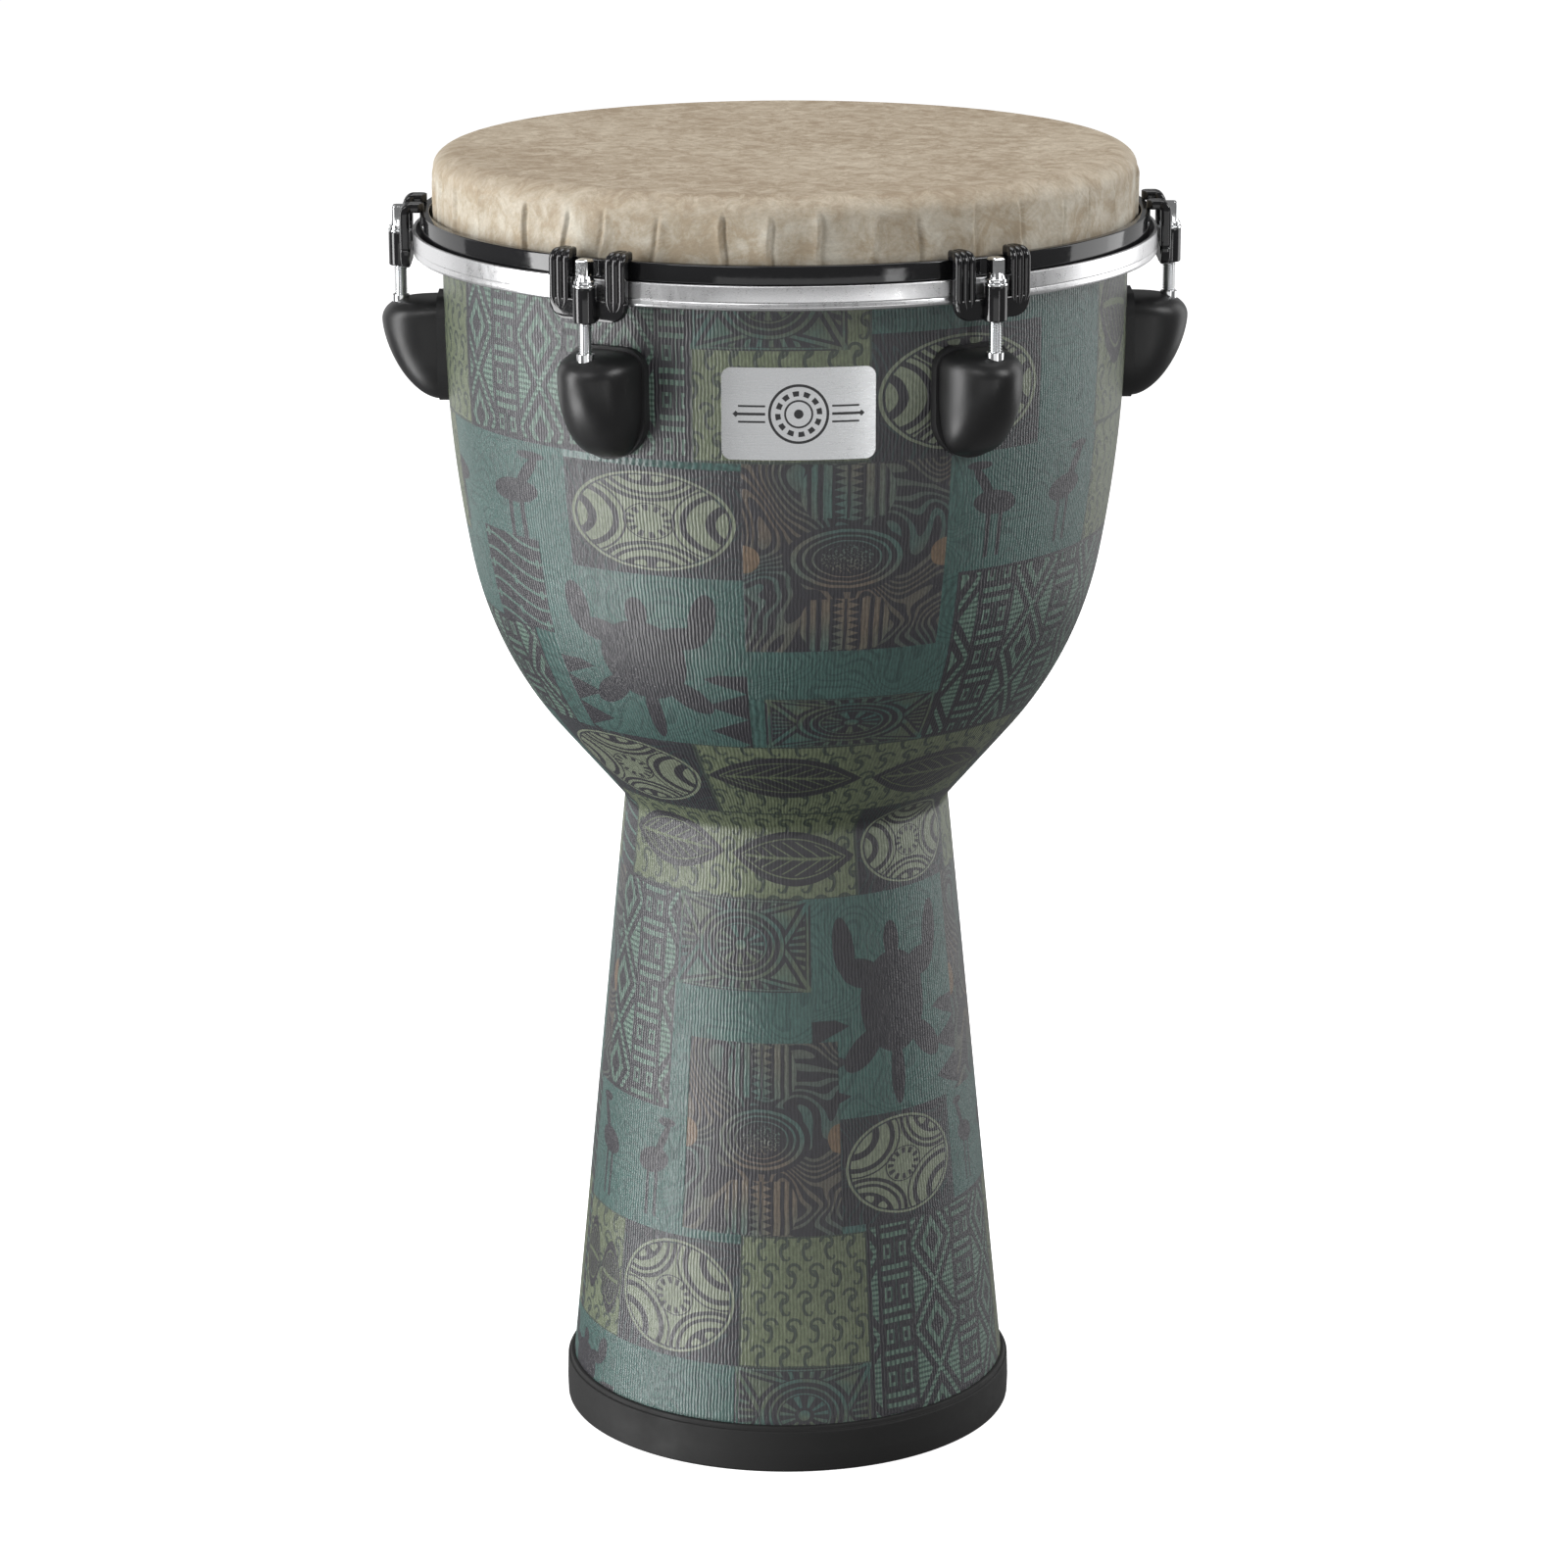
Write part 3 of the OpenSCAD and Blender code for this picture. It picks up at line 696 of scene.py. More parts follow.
def rounded_block(low, high, bevel):
    """A block from corner to corner, in millimetres, with rounded edges."""
    bm = bmesh.new()
    bmesh.ops.create_cube(bm, size=1.0)
    size = [b - a for a, b in zip(low, high)]
    for vert in bm.verts:
        vert.co = Vector([(a + (c + 0.5) * s) * MM for a, c, s in zip(low, vert.co, size)])
    bmesh.ops.bevel(bm, geom=bm.edges[:], offset=bevel * MM, segments=3, affect="EDGES", profile=0.5)
    return from_bmesh(bm)


def set_down(made, body, slot, replaced):
    """Fixes a piece to its body and hides the node it stands for. The slot is not used."""
    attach(made, body)
    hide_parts(replaced)


def lowest(node):
    """A node's lowest height, in millimetres."""
    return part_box(node)[0].z / MM


def highest(node):
    """A node's highest height, in millimetres."""
    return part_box(node)[1].z / MM


def reach_of(node):
    """How far a node reaches to the right of the drum's axis, in millimetres."""
    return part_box(node)[1].x / MM


# ---- the skin of printed cloth

HALF_TURN = 180
CLOTH_LOW = 4
CLOTH_HIGH = 540
WAIST_LOW = 250
WAIST_HIGH = 289
# Patches on the front half: first and last angle from the front in degrees, lowest and highest edge in
# millimetres above the floor, and what is printed there. Later ones lie over earlier ones.
PATCHES = [
    (-90, -66, 452, 540, "scrolls"), (-66, -16, 452, 540, "labyrinth"), (-16, 13, 452, 540, "scrolls"),
    (-16, 9, 498, 540, "rosette"), (13, 45, 452, 504, "medallion"), (13, 45, 504, 540, "plain"),
    (45, 62, 452, 540, "plain"), (62, 98, 452, 540, "leaf"),
    (-90, -40, 402, 452, "birds"), (-40, -8, 403, 449, "medallion"), (-8, 27, 372, 452, "columns"),
    (27, 63, 402, 452, "birds"), (63, 104, 402, 452, "scrolls"),
    (-66, -48, 370, 410, "stripes"), (-90, -66, 370, 402, "plain"), (-90, -54, 326, 370, "labyrinth"),
    (-48, -8, 326, 403, "tortoise"), (-8, 30, 350, 372, "plain"), (-5, 30, 326, 350, "rosette"),
    (30, 76, 326, 402, "labyrinth"), (76, 96, 326, 402, "stripes"),
    (-90, -66, 289, 326, "plain"), (-66, -22, 289, 326, "medallion"), (-22, 62, 289, 326, "leaf"),
    (62, 101, 289, 326, "rosette"),
    (-90, -66, 250, 289, "stripes"), (-66, 24, 250, 289, "leaf"), (24, 68, 250, 289, "medallion"),
    (68, 99, 250, 289, "scrolls"),
    (-82, -39, 154, 250, "labyrinth"), (-39, 7, 210, 250, "rosette"), (7, 64, 154, 250, "tortoise"),
    (64, 108, 154, 250, "columns"), (-90, -82, 154, 250, "plain"), (-39, 7, 188, 210, "plain"),
    (-32, 15, 104, 188, "columns"), (-78, -32, 100, 154, "birds"), (15, 56, 107, 154, "medallion_right"),
    (56, 94, 107, 154, "birds"), (-90, -78, 46, 154, "stripes"),
    (-78, -54, 46, 100, "leaf"), (-54, -14, 46, 100, "medallion_left"), (-14, 22, 46, 104, "scrolls"),
    (22, 78, 4, 107, "labyrinth"), (78, 99, 4, 107, "scrolls"),
    (-90, -54, 4, 46, "tortoise"), (-54, -15, 4, 46, "plain"), (-15, 22, 4, 46, "rosette"),
]


def below(centre, radius, z):
    """Radius of a bulging side curve at a height, from its centre's radius and height."""
    return centre[0] + sqrt(max(0.0, radius ** 2 - (z - centre[1]) ** 2))


def cloth_radius(z):
    """Outside radius of the skin at a height, in millimetres: wall, bulges, funnel, waist and stem."""
    wall_r, wall_base = 144.3, 494.0
    upper_r, upper_turn = 568.0, radians(10.9)
    lower_r, cone = 159.4, radians(40.6)
    stem_foot, taper = 97.3, 0.098
    waist_r, waist_z, hollow = 78.197, 276.955, 8.0
    upper = (wall_r - upper_r, wall_base)
    lower = (upper[0] + (upper_r - lower_r) * cos(upper_turn),
             upper[1] - (upper_r - lower_r) * sin(upper_turn))
    funnel = (lower[0] + lower_r * cos(cone), lower[1] - lower_r * sin(cone))
    if z > wall_base:
        return wall_r
    if z > wall_base - upper_r * sin(upper_turn):
        return below(upper, upper_r, z)
    if z > funnel[1]:
        return below(lower, lower_r, z)
    if z > waist_z + hollow * sin(cone):
        return funnel[0] - (funnel[1] - z) * tan(cone)
    if z > waist_z - hollow * sin(atan(taper)):
        return waist_r - sqrt(hollow ** 2 - (z - waist_z) ** 2)
    return stem_foot - taper * z


def patch_at(angle, z):
    """The uppermost patch at an angle and height, and the turn that takes the angle into its range.

    Patches may run past the half they belong to and on into the next one.
    """
    for patch in reversed(PATCHES):
        for turn in (0, HALF_TURN):
            if patch[0] < angle + turn < patch[1] and patch[2] < z < patch[3]:
                return patch, turn
    return (-90, 90, CLOTH_LOW, CLOTH_HIGH, "plain"), 0


def cloth_rows():
    """Heights of the mesh's rows: every patch edge, at most 4 mm apart, and 1 mm round the waist."""
    edges = sorted({CLOTH_LOW, CLOTH_HIGH} | {z for patch in PATCHES for z in patch[2:4]})
    rows = []
    for low, high in zip(edges, edges[1:]):
        count = ceil((high - low) / (1 if WAIST_LOW <= low < WAIST_HIGH else 4))
        rows += [low + (high - low) * k / count for k in range(count)]
    return rows + [CLOTH_HIGH]


def sheet_lengths(rows, radius):
    """Distance of each row from the top one, measured along the cloth, in millimetres."""
    length = {rows[-1]: 0.0}
    for high, low in zip(rows[:0:-1], rows[-2::-1]):
        length[low] = length[high] - hypot(radius[high] - radius[low], high - low)
    return length


def cloth_quarter(first, rows, radius, length):
    """A quarter of the cloth from an angle on, with each face's print, and its points' normals."""
    kinds = list(PRINTS)
    step = 0.5
    bm = bmesh.new()
    patch_uv = bm.loops.layers.uv.new("patch")
    cloth_uv = bm.loops.layers.uv.new("cloth")
    grid, normals = [], []
    for z in rows:
        slope = (cloth_radius(z + step) - cloth_radius(z - step)) / (2 * step)
        line = []
        for angle in range(first, first + 91):
            c, s = polar(radians(angle))
            line.append(bm.verts.new((radius[z] * s * MM, -radius[z] * c * MM, z * MM)))
            normals.append(Vector((s, -c, -slope)).normalized())
        grid.append(line)
    for k, (low, high) in enumerate(zip(rows, rows[1:])):
        for j in range(90):
            angle = first + j if first < 90 else first + j - HALF_TURN
            patch, turn = patch_at(angle + 0.5, (low + high) / 2)
            angle += turn
            face = bm.faces.new((grid[k][j], grid[k][j + 1], grid[k + 1][j + 1], grid[k + 1][j]))
            face.material_index = kinds.index(patch[4])
            bottom, top = max(patch[2], CLOTH_LOW), min(patch[3], CLOTH_HIGH)
            girth = radius[min(rows, key=lambda row: abs(row - (bottom + top) / 2))]
            middle = (patch[0] + patch[1]) / 2
            corners = ((angle, low), (angle + 1, low), (angle + 1, high), (angle, high))
            for loop, (at, z) in zip(face.loops, corners):
                loop[patch_uv].uv = (2 * (at - patch[0]) / (patch[1] - patch[0]) - 1,
                                     2 * (z - bottom) / (top - bottom) - 1)
                loop[cloth_uv].uv = (radians(at - middle) * girth * MM,
                                     (length[z] - length[bottom] / 2 - length[top] / 2) * MM)
    return bm, normals


def make_cloth():
    """The cloth in four quarters, each a smooth sheet whose faces carry the patches' prints."""
    paints = [cloth_paint(kind) for kind in PRINTS]
    rows = cloth_rows()
    radius = {z: cloth_radius(z) for z in rows}
    length = sheet_lengths(rows, radius)
    for quarter in range(4):
        bm, normals = cloth_quarter(-90 + 90 * quarter, rows, radius, length)
        mesh = bpy.data.meshes.new(f"cloth_{quarter + 1}")
        bm.to_mesh(mesh)
        bm.free()
        for material in paints:
            mesh.materials.append(material)
        mesh.shade_smooth()
        mesh.normals_split_custom_set_from_vertices(normals)
        set_down(placed(f"cloth_{quarter + 1}", mesh), "shell_body", "print_fabric", "shell_wrap")


# ---- the head

HEAD_COLUMNS = 1440
SKIRT_R = 147.7


def pleat_list():
    """Angle, height, direction, lean and start of each pleat round the skirt, from a fixed seed."""
    draw = random.Random(7)
    pleats, at = [], 0.0
    while at < 355:
        pleats.append((radians(at), draw.uniform(0.8, 1.5), draw.choice((-1, 1, 1, 1)),
                       draw.uniform(-0.2, 0.2), draw.uniform(551, 556)))
        at += draw.uniform(7.0, 11.5)
    return pleats


def head_rings():
    """Radius, height and distance along the film of each ring, from the flat top down the skirt."""
    top, corner, bottom = highest("head_film"), 6.6, 520.0
    flat, round_length = SKIRT_R - 10.5, 12.6
    rings = [(flat * t, top, flat * t) for t in (0.08, 0.2, 0.35, 0.5, 0.65, 0.8, 0.92, 0.98, 1.0)]
    for k in range(1, 15):
        a = radians(90 * k / 14)
        z = top - corner * (1 - cos(a)) * 1.12
        rings.append((flat + (SKIRT_R - flat) * sin(a), z, flat + round_length * k / 14))
    _, start, reach = rings[-1]
    for k in range(1, 31):
        z = start + (bottom - start) * k / 30
        rings.append((SKIRT_R, z, reach + start - z))
    return rings


def skirt_offset(theta, z, pleats):
    """How far the film stands out at each angle, at one height, from its pleats and soft folds."""
    offset = np.zeros(HEAD_COLUMNS)
    for at, height, way, lean, begin in pleats:
        down = np.clip((begin - z) / 5, 0, 1)
        down = down * down * (3 - 2 * down)
        centre = at + (lean * (begin - z) + 0.3 * sin(z * 0.35 + at * 9)) / SKIRT_R
        x = ((theta - centre + pi) % tau - pi) * SKIRT_R * way
        slack, steep = np.minimum(x, 0) / 2.7, np.maximum(x, 0) / 0.8
        ridge = np.where(x < 0, np.exp(slack), np.exp(-steep ** 2))
        crease = np.exp(-((x - 1.7) / 0.9) ** 2)
        offset += height * down * (ridge - 0.7 * crease)
    sag = np.clip((552 - z) / 12, 0, 1) * np.clip((z - 527) / 8, 0, 1)
    folds = np.sin(theta * 23 + 1.3) * (0.42 + 0.42 * np.sin(theta * 3 + 0.4))
    offset += sag * (folds + np.sin(theta * 41) * 0.2)
    return np.clip(offset, -1.6, 1.65) * min(1.0, (z - 520) / 4)


def make_head():
    """The film as one sheet: flat top, rolled corner, and a skirt with pressed pleats and soft folds."""
    rings = head_rings()
    pleats = pleat_list()
    theta = np.arange(HEAD_COLUMNS) * tau / HEAD_COLUMNS
    bm = bmesh.new()
    film_uv = bm.loops.layers.uv.new("film")
    grid = []
    for r, z, _ in rings:
        grid.append([bm.verts.new((*polar(t, out * MM), z * MM))
                     for t, out in zip(theta, r + skirt_offset(theta, z, pleats))])
    middle = bm.verts.new((0, 0, rings[0][1] * MM))

    def lay(loop, t, along):
        loop[film_uv].uv = polar(t, along * MM)

    for j in range(HEAD_COLUMNS):
        after = (j + 1) % HEAD_COLUMNS
        t0, t1 = theta[j], theta[j] + tau / HEAD_COLUMNS
        face = bm.faces.new((middle, grid[0][j], grid[0][after]))
        for loop, (t, along) in zip(face.loops, ((t0, 0), (t0, rings[0][2]), (t1, rings[0][2]))):
            lay(loop, t, along)
        for k in range(len(rings) - 1):
            face = bm.faces.new((grid[k][j], grid[k + 1][j], grid[k + 1][after], grid[k][after]))
            near, far = rings[k][2], rings[k + 1][2]
            for loop, (t, along) in zip(face.loops, ((t0, near), (t0, far), (t1, far), (t1, near))):
                lay(loop, t, along)
    mesh = bpy.data.meshes.new("head")
    bm.to_mesh(mesh)
    bm.free()
    made = piece("head", mesh, FILM, smooth_angle=80)
    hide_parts("head_film")
    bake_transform(made)


# ---- hoops and foot


def make_hoops():
    """The aluminium hoop, with a bead along its foot, and the black bar that presses on it."""
    outer, z0, z1 = reach_of("flesh_hoop"), lowest("flesh_hoop"), highest("flesh_hoop")
    wall, inner = outer - 0.25, outer - 10.4
    flesh = filleted([
        (inner, z0, 0.3), (outer - 1.6, z0, 0.3), (outer - 0.45, z0 + 0.35, 0.8),
        (outer, z0 + 1.6, 1.0), (outer - 0.35, z0 + 2.9, 0.6), (wall - 0.25, z0 + 3.2, 0.25),
        (wall, z0 + 3.7, 0.4), (wall, z1, 0.55), (wall - 1.5, z1, 0.4), (wall - 1.5, z0 + 2.3, 0.3),
        (inner, z0 + 2.3, 0.3),
    ])
    band = piece("flesh_band", lathe(flesh, 360), ALUMINIUM)
    set_down(band, "hoop_body", "hoop_aluminium", "flesh_hoop")
    outer, z0, z1 = reach_of("counter_hoop"), lowest("counter_hoop"), highest("counter_hoop")
    inner, edge = outer - 4, 0.8
    bar = filleted([(inner, z0, edge), (outer, z0, edge), (outer, z1, edge), (inner, z1, edge)])
    band = piece("counter_band", lathe(bar, 360), ENAMEL)
    set_down(band, "hoop_body", "black_enamel", "counter_hoop")


def make_foot():
    """The rubber ring, with a step and a thin lip at its top."""
    outer, top = reach_of("foot_ring"), highest("foot_ring")
    inner = outer - 13.7
    foot = filleted([
        (inner, 0, 1.0), (outer - 0.3, 0, 1.6), (outer, 8, 6.0), (outer - 0.3, top - 2.6, 0.5),
        (outer - 0.5, top - 2.1, 0.3), (outer - 1.35, top - 1.95, 0.3), (outer - 1.6, top, 0.7),
        (outer - 5.0, top, 0.4), (outer - 5.0, 4.2, 0.2), (outer - 9.5, 4.2, 0.2),
        (outer - 10.1, 10, 0.8), (inner, 7, 1.0),
    ])
    ring = piece("rubber_foot", lathe(foot, 256), RUBBER)
    set_down(ring, "shell_body", "rubber_foot", "foot_ring")


# ---- lugs

CASING_BACK = 146.8
CASING_NOSE = 170.6
CASING_TOP = 496.0
CASING_LOW = 452.5
ROD_CIRCLE = 162.4
ROD_R = 2.75
ROD_BORE_R = 3.0
NUT_BORE_R = 3.6
SLEEVE_R = 4.75
SLEEVE_BORE_R = 3.1
THREAD_PITCH = 25.4 / 24
CLAW_THICK = 3.7
CLAW_WIDTH = 35.0
CLAW_ARM = 9.3
CLAW_BACK = 157.6
CLAW_LOW = 509.6
CLAW_PLATE_H = 8.6
BORE_SIDES = 40


def casing_mesh():
    """The moulded casing: a half egg, fullest near its top, bored for the rod and its nut."""
    half = 16.5
    tip_z = CASING_TOP - 9.5
    depth = CASING_NOSE - CASING_BACK
    rings_n, points_n = 30, 88
    bm = bmesh.new()
    rings = []
    for k in range(rings_n):
        t = sin(pi / 2 * k / rings_n)
        side = (1 - t ** 2.5) ** 0.5
        rise = (1 - t ** 3.6) ** 0.5
        fall = (1 - t ** 1.75) ** 0.62
        square = 2 + 1.3 * (1 - t)
        ring = []
        for j in range(points_n):
            a = tau * j / points_n
            c, s = polar(a)
            x = copysign(abs(c) ** (2 / square), c) * half * side
            high = (CASING_TOP - tip_z) * rise if s > 0 else (tip_z - CASING_LOW) * fall
            z = copysign(abs(s) ** (2 / square), s) * high
            ring.append((x * MM, -(CASING_BACK + depth * t) * MM, (tip_z + z) * MM))
        rings.append(ring)
    loft(bm, rings, caps=False)
    bm.verts.ensure_lookup_table()
    tip = bm.verts.new((0, -CASING_NOSE * MM, tip_z * MM))
    last = bm.verts[-1 - points_n:-1]
    for j in range(points_n):
        bm.faces.new((last[j], last[(j + 1) % points_n], tip))
    bm.faces.new(bm.verts[:points_n][::-1])
    nut_low, bore_low = lowest("tension_nut_1"), lowest("tension_rod_1") - 6
    return drilled(from_bmesh(bm), [(ROD_BORE_R, bore_low), (ROD_BORE_R, nut_low),
                                    (NUT_BORE_R, nut_low), (NUT_BORE_R, CASING_TOP + 4)])


def claw_plate():
    """The claw's plate, with round lower corners and a hole for the rod."""
    half, low, high = CLAW_WIDTH / 2, CLAW_LOW, CLAW_LOW + CLAW_PLATE_H
    middle = (low + high) / 2
    outline = filleted([(-half, low, 8.0), (half, low, 8.0), (half, high, 1.2), (-half, high, 1.2)],
                       steps=10, limit=0.85)
    rings = []
    for depth, inset in ((0.0, 0.5), (0.5, 0.0), (CLAW_THICK - 1.0, 0.0), (CLAW_THICK - 0.3, 0.3),
                         (CLAW_THICK, 1.0)):
        rings.append([(x * (1 - inset / half) * MM, -(CLAW_BACK + depth) * MM,
                       (middle + (z - middle) * (1 - 2 * inset / CLAW_PLATE_H)) * MM) for x, z in outline])
    return drilled(lofted(rings), [(ROD_BORE_R, low - 2), (ROD_BORE_R, high + 2)])


def arm_path():
    """Distance outward, height and turn along an arm, from the plate up and over the hoop."""
    bend = 2.7
    up = highest("counter_hoop") + 0.05 + CLAW_THICK / 2
    line = CLAW_BACK + CLAW_THICK / 2
    neck = CLAW_LOW + 10.2
    path = [(line, CLAW_LOW + 4.6 + k * 0.7, 0.0) for k in range(8)]
    path += [(line, neck + (up - bend - neck) * k / 8, 0.0) for k in range(8)]
    for a in range(0, 91, 9):
        c, s = polar(radians(a), bend)
        path.append((line - bend + c, up - bend + s, a))
    return path + [(line - bend - k * 0.6, up, 90.0) for k in range(1, 10)]


def claw_arm(side):
    """One ribbed arm, its foot fading into the plate and its tip rounded off."""
    path = arm_path()
    end = path[-1][0]
    rings = []
    for out, z, turn in path:
        foot = max(0.0, CLAW_LOW + 9.4 - z) / 5.0 if turn == 0 else 0.0
        narrow = 1 - 0.16 * (turn / 90) ** 2
        tip = max(0.0, end + 2.4 - out) / 2.4
        shrink = sqrt(max(0.06, 1 - foot * foot * 0.9 - tip * tip * 0.9))
        c, s = polar(radians(turn))
        ring = []
        for x, h in arm_section(CLAW_ARM, CLAW_THICK):
            h = h * (1 - 0.12 * tip * tip) + (0.25 * (1 - foot) if h > 0 else 0.0)
            x = x * shrink * narrow - side * foot * 0.4 + side * (CLAW_WIDTH - CLAW_ARM) / 2
            ring.append((x * MM, -(out + h * c) * MM, (z + h * s) * MM))
        rings.append(ring)
    return lofted(rings)


def claw_sleeve():
    """The round sleeve that the rod runs through, up to the washer's seat."""
    low, top = CLAW_LOW - 0.4, min(highest("claw_1"), lowest("rod_washer_1"))
    sleeve = filleted([(SLEEVE_BORE_R, low, 0.3), (SLEEVE_R, low, 0.6), (SLEEVE_R, top, 0.5),
                       (SLEEVE_BORE_R, top, 0.3)])
    return lathe(sleeve, 48, (0, -ROD_CIRCLE * MM))


def claw_mesh():
    """A cast claw: a plate, two arms hooked over the hoop, a rod sleeve, and a web behind the sleeve."""
    web = rounded_block((-4.3, 2.9 - ROD_CIRCLE, CLAW_LOW + 0.6), (4.3, -1 - CLAW_BACK, CLAW_LOW + 8.4), 0.6)
    return joined([claw_plate(), claw_arm(-1), claw_arm(1), claw_sleeve(), web])


def arm_section(width, thick):
    """Points round an arm's cross-section: three rounded ribs outside, a flat back with soft edges."""
    points = []
    count = 48
    for k in range(count + 1):
        x = width * (k / count - 0.5)
        rib = abs(sin(pi * 3 * k / count)) ** 0.4
        points.append((x, thick / 2 - 1.15 + 1.15 * rib))
    side, back = width / 2, -thick / 2
    points += [(side, back + 0.8), (side - 0.25, back + 0.22), (side - 0.8, back)]
    points += [(0.8 - side, back), (0.25 - side, back + 0.22), (-side, back + 0.8)]
    return points


def rod_thread(low, high):
    """The rod's helical thread, tapered at its lower end."""
    sides, per_turn, depth = 24, 6, 0.62
    rings = []
    for row in range(int((high - low) / THREAD_PITCH * per_turn) + 1):
        taper = min(1.0, (row + 2) / (per_turn * 1.5))
        ring = []
        for k in range(sides):
            wave = abs(((row / per_turn - k / sides) % 1.0) * 2 - 1)
            crest = min(1.0, max(0.0, wave * 1.5 - 0.2))
            r = (ROD_R - depth + depth * crest) * (0.75 + 0.25 * taper)
            ring.append(rod_point(*polar(tau * k / sides, r), low + row / per_turn * THREAD_PITCH))
        rings.append(ring)
    return lofted(rings)


def rod_flange(low, neck):
    """The turned flange that bears on the washer, and the neck on it."""
    outline = filleted([
        (0.4, low, 0.0), (4.4, low, 0.45), (4.4, neck, 0.5), (3.95, neck + 0.02, 0.15),
        (3.0, neck + 2.5, 0.2), (0.4, neck + 2.5, 0.0),
    ])
    return lathe(outline, 48, (0, -ROD_CIRCLE * MM))


def rod_head(low, high):
    """The square key head, its edges turned round and its top crowned."""
    half, crown, points_n = 2.9, 3.62, 64
    shape = ((low, 1.0), (high - 1.15, 1.0), (high - 0.55, 0.955), (high - 0.15, 0.83), (high, 0.62))
    turns = [tau * (k + 0.5) / points_n for k in range(points_n)]
    reach = [min(half / max(abs(cos(a)), abs(sin(a))), crown) for a in turns]
    return lofted([[rod_point(*polar(a, r * scale), z) for a, r in zip(turns, reach)] for z, scale in shape])


def rod_mesh():
    """A tension rod: thread, flange and head."""
    flange_z = highest("rod_washer_1")
    neck = flange_z + 1.5
    return joined([
        rod_thread(lowest("tension_rod_1"), flange_z - 1), rod_flange(flange_z, neck),
        rod_head(neck + 0.3, highest("tension_rod_1")),
    ])


def washer_mesh():
    """A flat washer, a hair thinner than its room so that the rod's flange turns clear of it."""
    z0, z1 = lowest("rod_washer_1"), highest("rod_washer_1") - 0.04
    hole, rim = 3.1, 4.9
    ring = filleted([(hole, z0, 0.2), (rim, z0, 0.45), (rim, z1, 0.45), (hole, z1, 0.2)])
    return lathe(ring, 48, (0, -ROD_CIRCLE * MM))


def make_lugs():
    """Six sets of casing, claw, rod and washer, each piece a turned copy of one mesh."""
    sets = [
        ("casing", casing_mesh(), CASING, "casing_black", "shell_body", "lug_bracket", 60),
        ("claw_cast", claw_mesh(), ENAMEL, "black_enamel", "hoop_body", "claw", 38),
        ("rod", rod_mesh(), CHROME, "rod_chrome", None, "tension_rod", 32),
        ("flat_washer", washer_mesh(), CHROME, "rod_chrome", "hoop_body", "rod_washer", 35),
    ]
    for name, mesh, material, slot, body, node, angle in sets:
        for i in LUGS:
            made = piece(f"{name}_{i}", mesh.copy(), material, smooth_angle=angle)
            made.data.transform(lug_turn(i))
            set_down(made, body or f"rod_{i}", slot, f"{node}_{i}")


def dress_nodes():
    """Materials for the CAD nodes that stay."""
    finishes = {"bowl_shell": BOARD, "stem_shell": BOARD, "badge_plate": BADGE,
                "lug_screws": STEEL, "lug_washers": STEEL}
    for i in LUGS:
        finishes[f"lug_gasket_{i}"] = PAD
        finishes[f"tension_nut_{i}"] = CHROME
    for name, finish in finishes.items():
        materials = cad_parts[name].data.materials
        materials.clear()
        materials.append(finish)


# ---- stage, lights and camera


def glow(name, strength):
    """A white material that shines by itself, so the ground stays plain and pale."""
    paint = Paint(name, roughness=0.9, specular=0.0)
    paint.colour((0.85, 0.85, 0.85))
    paint.shader.inputs["Emission Color"].default_value = (1, 1, 1, 1)
    paint.shader.inputs["Emission Strength"].default_value = strength
    return paint.material


def make_stage():
    """A wide pale floor and a round pale wall far behind it. Neither throws light on the drum."""
    bpy.ops.mesh.primitive_plane_add(size=60)
    floor = bpy.context.object
    floor.data.materials.append(glow("floor", 0.86))
    bpy.ops.mesh.primitive_cylinder_add(vertices=128, radius=29, depth=50, end_fill_type="NOTHING")
    wall = bpy.context.object
    wall.data.materials.append(glow("wall", 1.0))
    for stage in (floor, wall):
        stage.visible_diffuse = False
        stage.visible_glossy = False
        stage.visible_shadow = False
    world = bpy.data.worlds.new("studio")
    world.use_nodes = True
    sky = world.node_tree.nodes["Background"]
    sky.inputs["Color"].default_value = (1.0, 1.0, 1.0, 1.0)
    sky.inputs["Strength"].default_value = 0.19
    bpy.context.scene.world = world


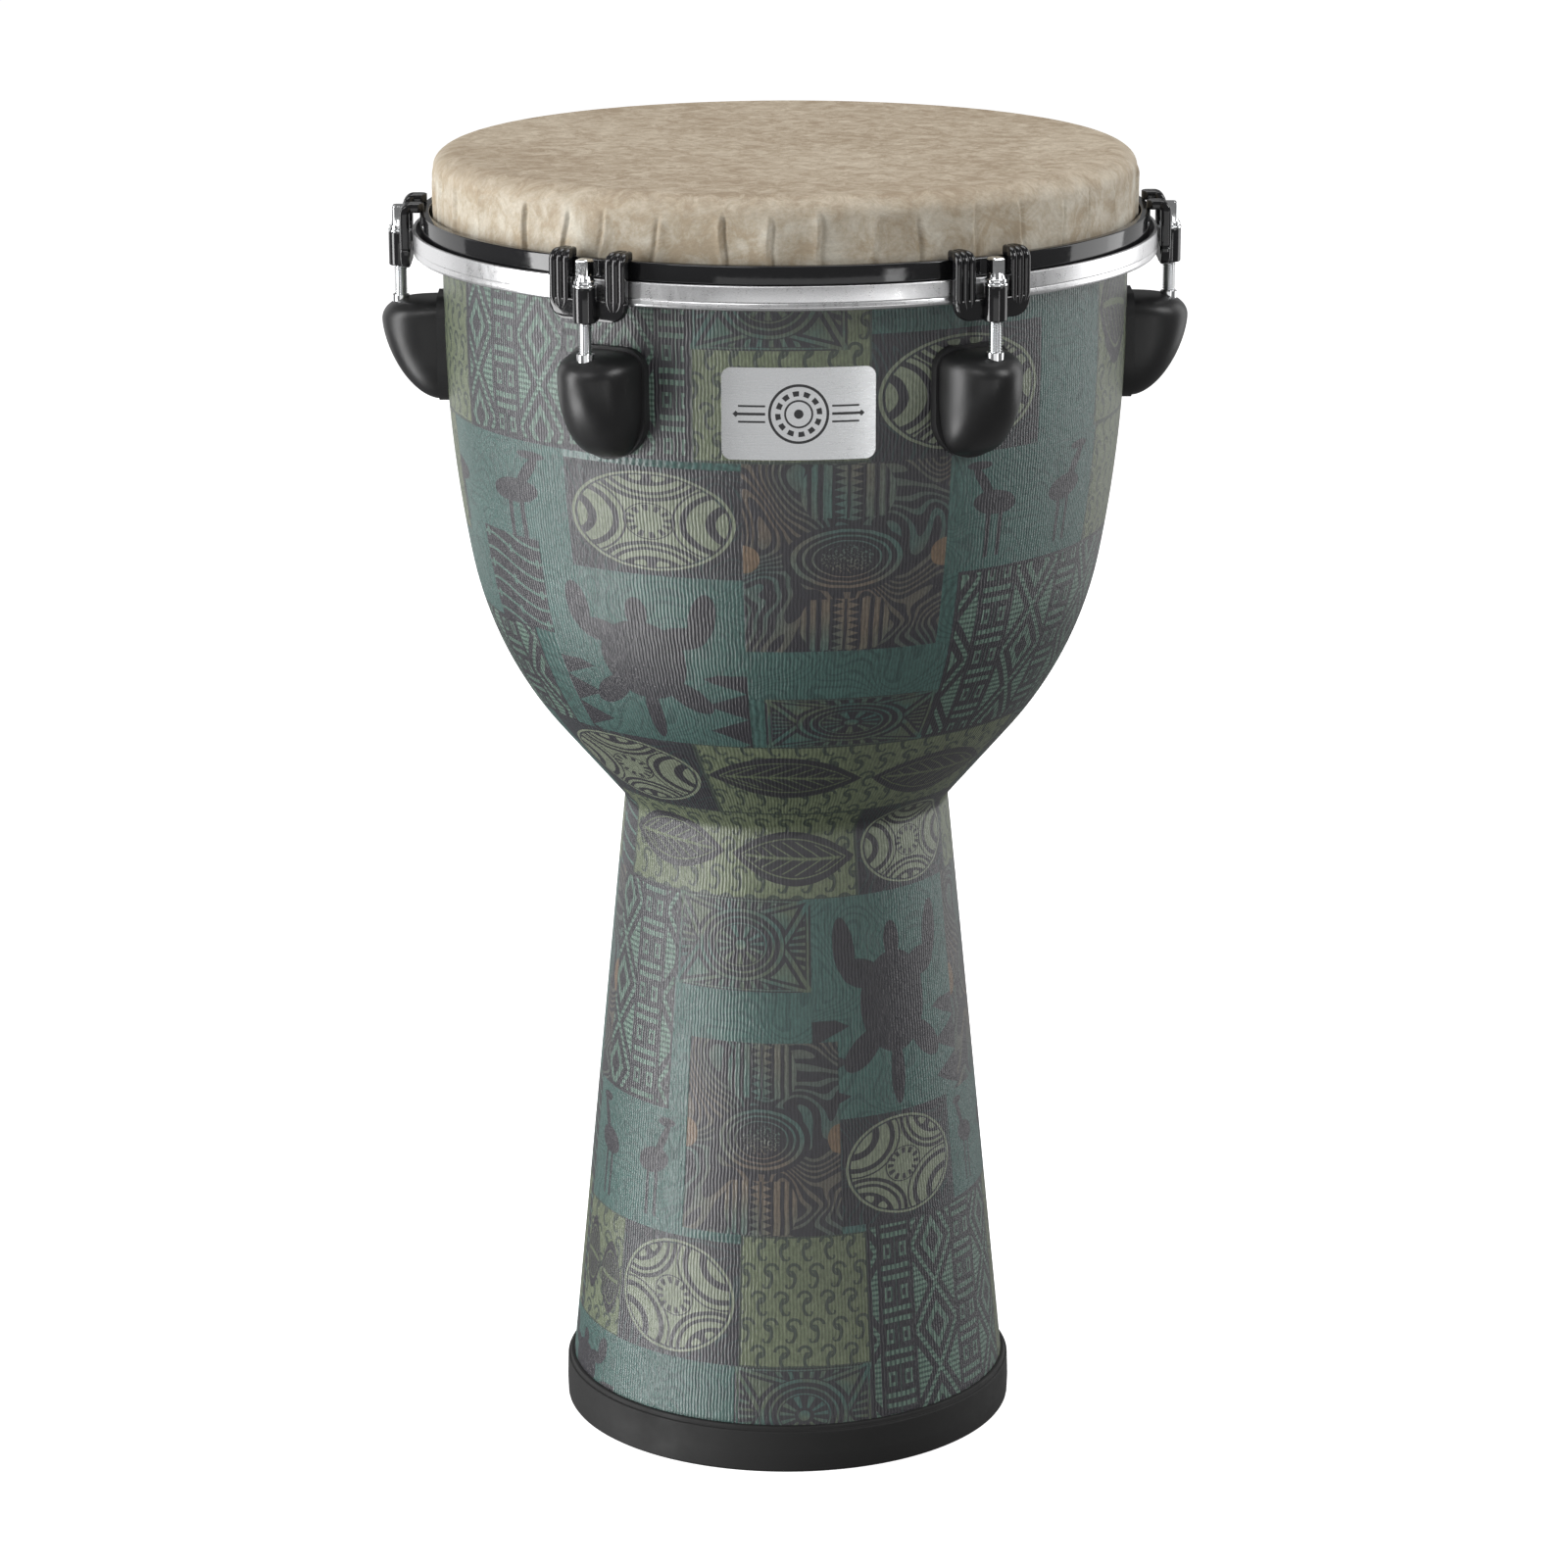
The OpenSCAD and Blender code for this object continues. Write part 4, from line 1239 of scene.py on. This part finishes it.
def softbox(name, place, width, height, power):
    """An area light at place, facing the drum's middle. The camera doesn't see it."""
    data = bpy.data.lights.new(name, "AREA")
    data.shape = "RECTANGLE"
    data.size = width
    data.size_y = height
    data.energy = power
    light = placed(name, data)
    light.location = place
    light.rotation_euler = (Vector((0, 0, 0.3)) - Vector(place)).to_track_quat("-Z", "Y").to_euler()
    light.visible_camera = False


def make_lights():
    """A tall key on the left, cards and a top light in front, and two soft lights behind."""
    softbox("key", (-1.75, -0.55, 0.62), 0.7, 1.95, 36)
    softbox("key_low", (-1.75, -0.55, -0.85), 0.9, 0.7, 17)
    softbox("front", (-1.0, -2.1, 2.2), 1.2, 0.8, 13)
    softbox("front_right", (1.85, -1.1, 1.8), 1.0, 1.0, 23)
    softbox("card", (0.25, -2.4, -0.2), 2.6, 1.0, 5.5)
    softbox("glint", (1.27, -2.03, 0.0), 0.25, 1.0, 2.2)
    softbox("rim", (1.65, 0.62, 0.6), 1.0, 2.0, 11)
    softbox("top", (0.1, 0.4, 2.4), 1.6, 1.2, 16)
    softbox("back_left", (-1.9, 2.2, 0.6), 2.4, 2.6, 15)
    softbox("back_right", (1.9, 2.2, 0.6), 2.4, 2.6, 8)


def make_camera():
    """The camera stands 2.11 m from the drum, 0.86 m up, and looks 15.43 degrees down."""
    distance, height = 2.1106, 0.8633
    pitch, swing, pan, roll = 15.433, 0.81, 0.028, -0.14
    data = bpy.data.cameras.new("camera")
    data.lens = 115.68
    data.sensor_width = 36.0
    camera = placed("camera", data)
    turn = radians(swing)
    camera.location = (-distance * sin(turn), -distance * cos(turn), height)
    heading = Matrix.Rotation(radians(pan) - turn, 4, "Z")
    tilt = Matrix.Rotation(radians(90 - pitch), 4, "X")
    camera.rotation_euler = (heading @ tilt @ Matrix.Rotation(radians(roll), 4, "Z")).to_euler()
    bpy.context.scene.camera = camera


make_camera()
make_stage()
make_lights()
make_cloth()
make_head()
make_hoops()
make_foot()
make_lugs()
dress_nodes()
bpy.context.scene.view_settings.view_transform = "Standard"
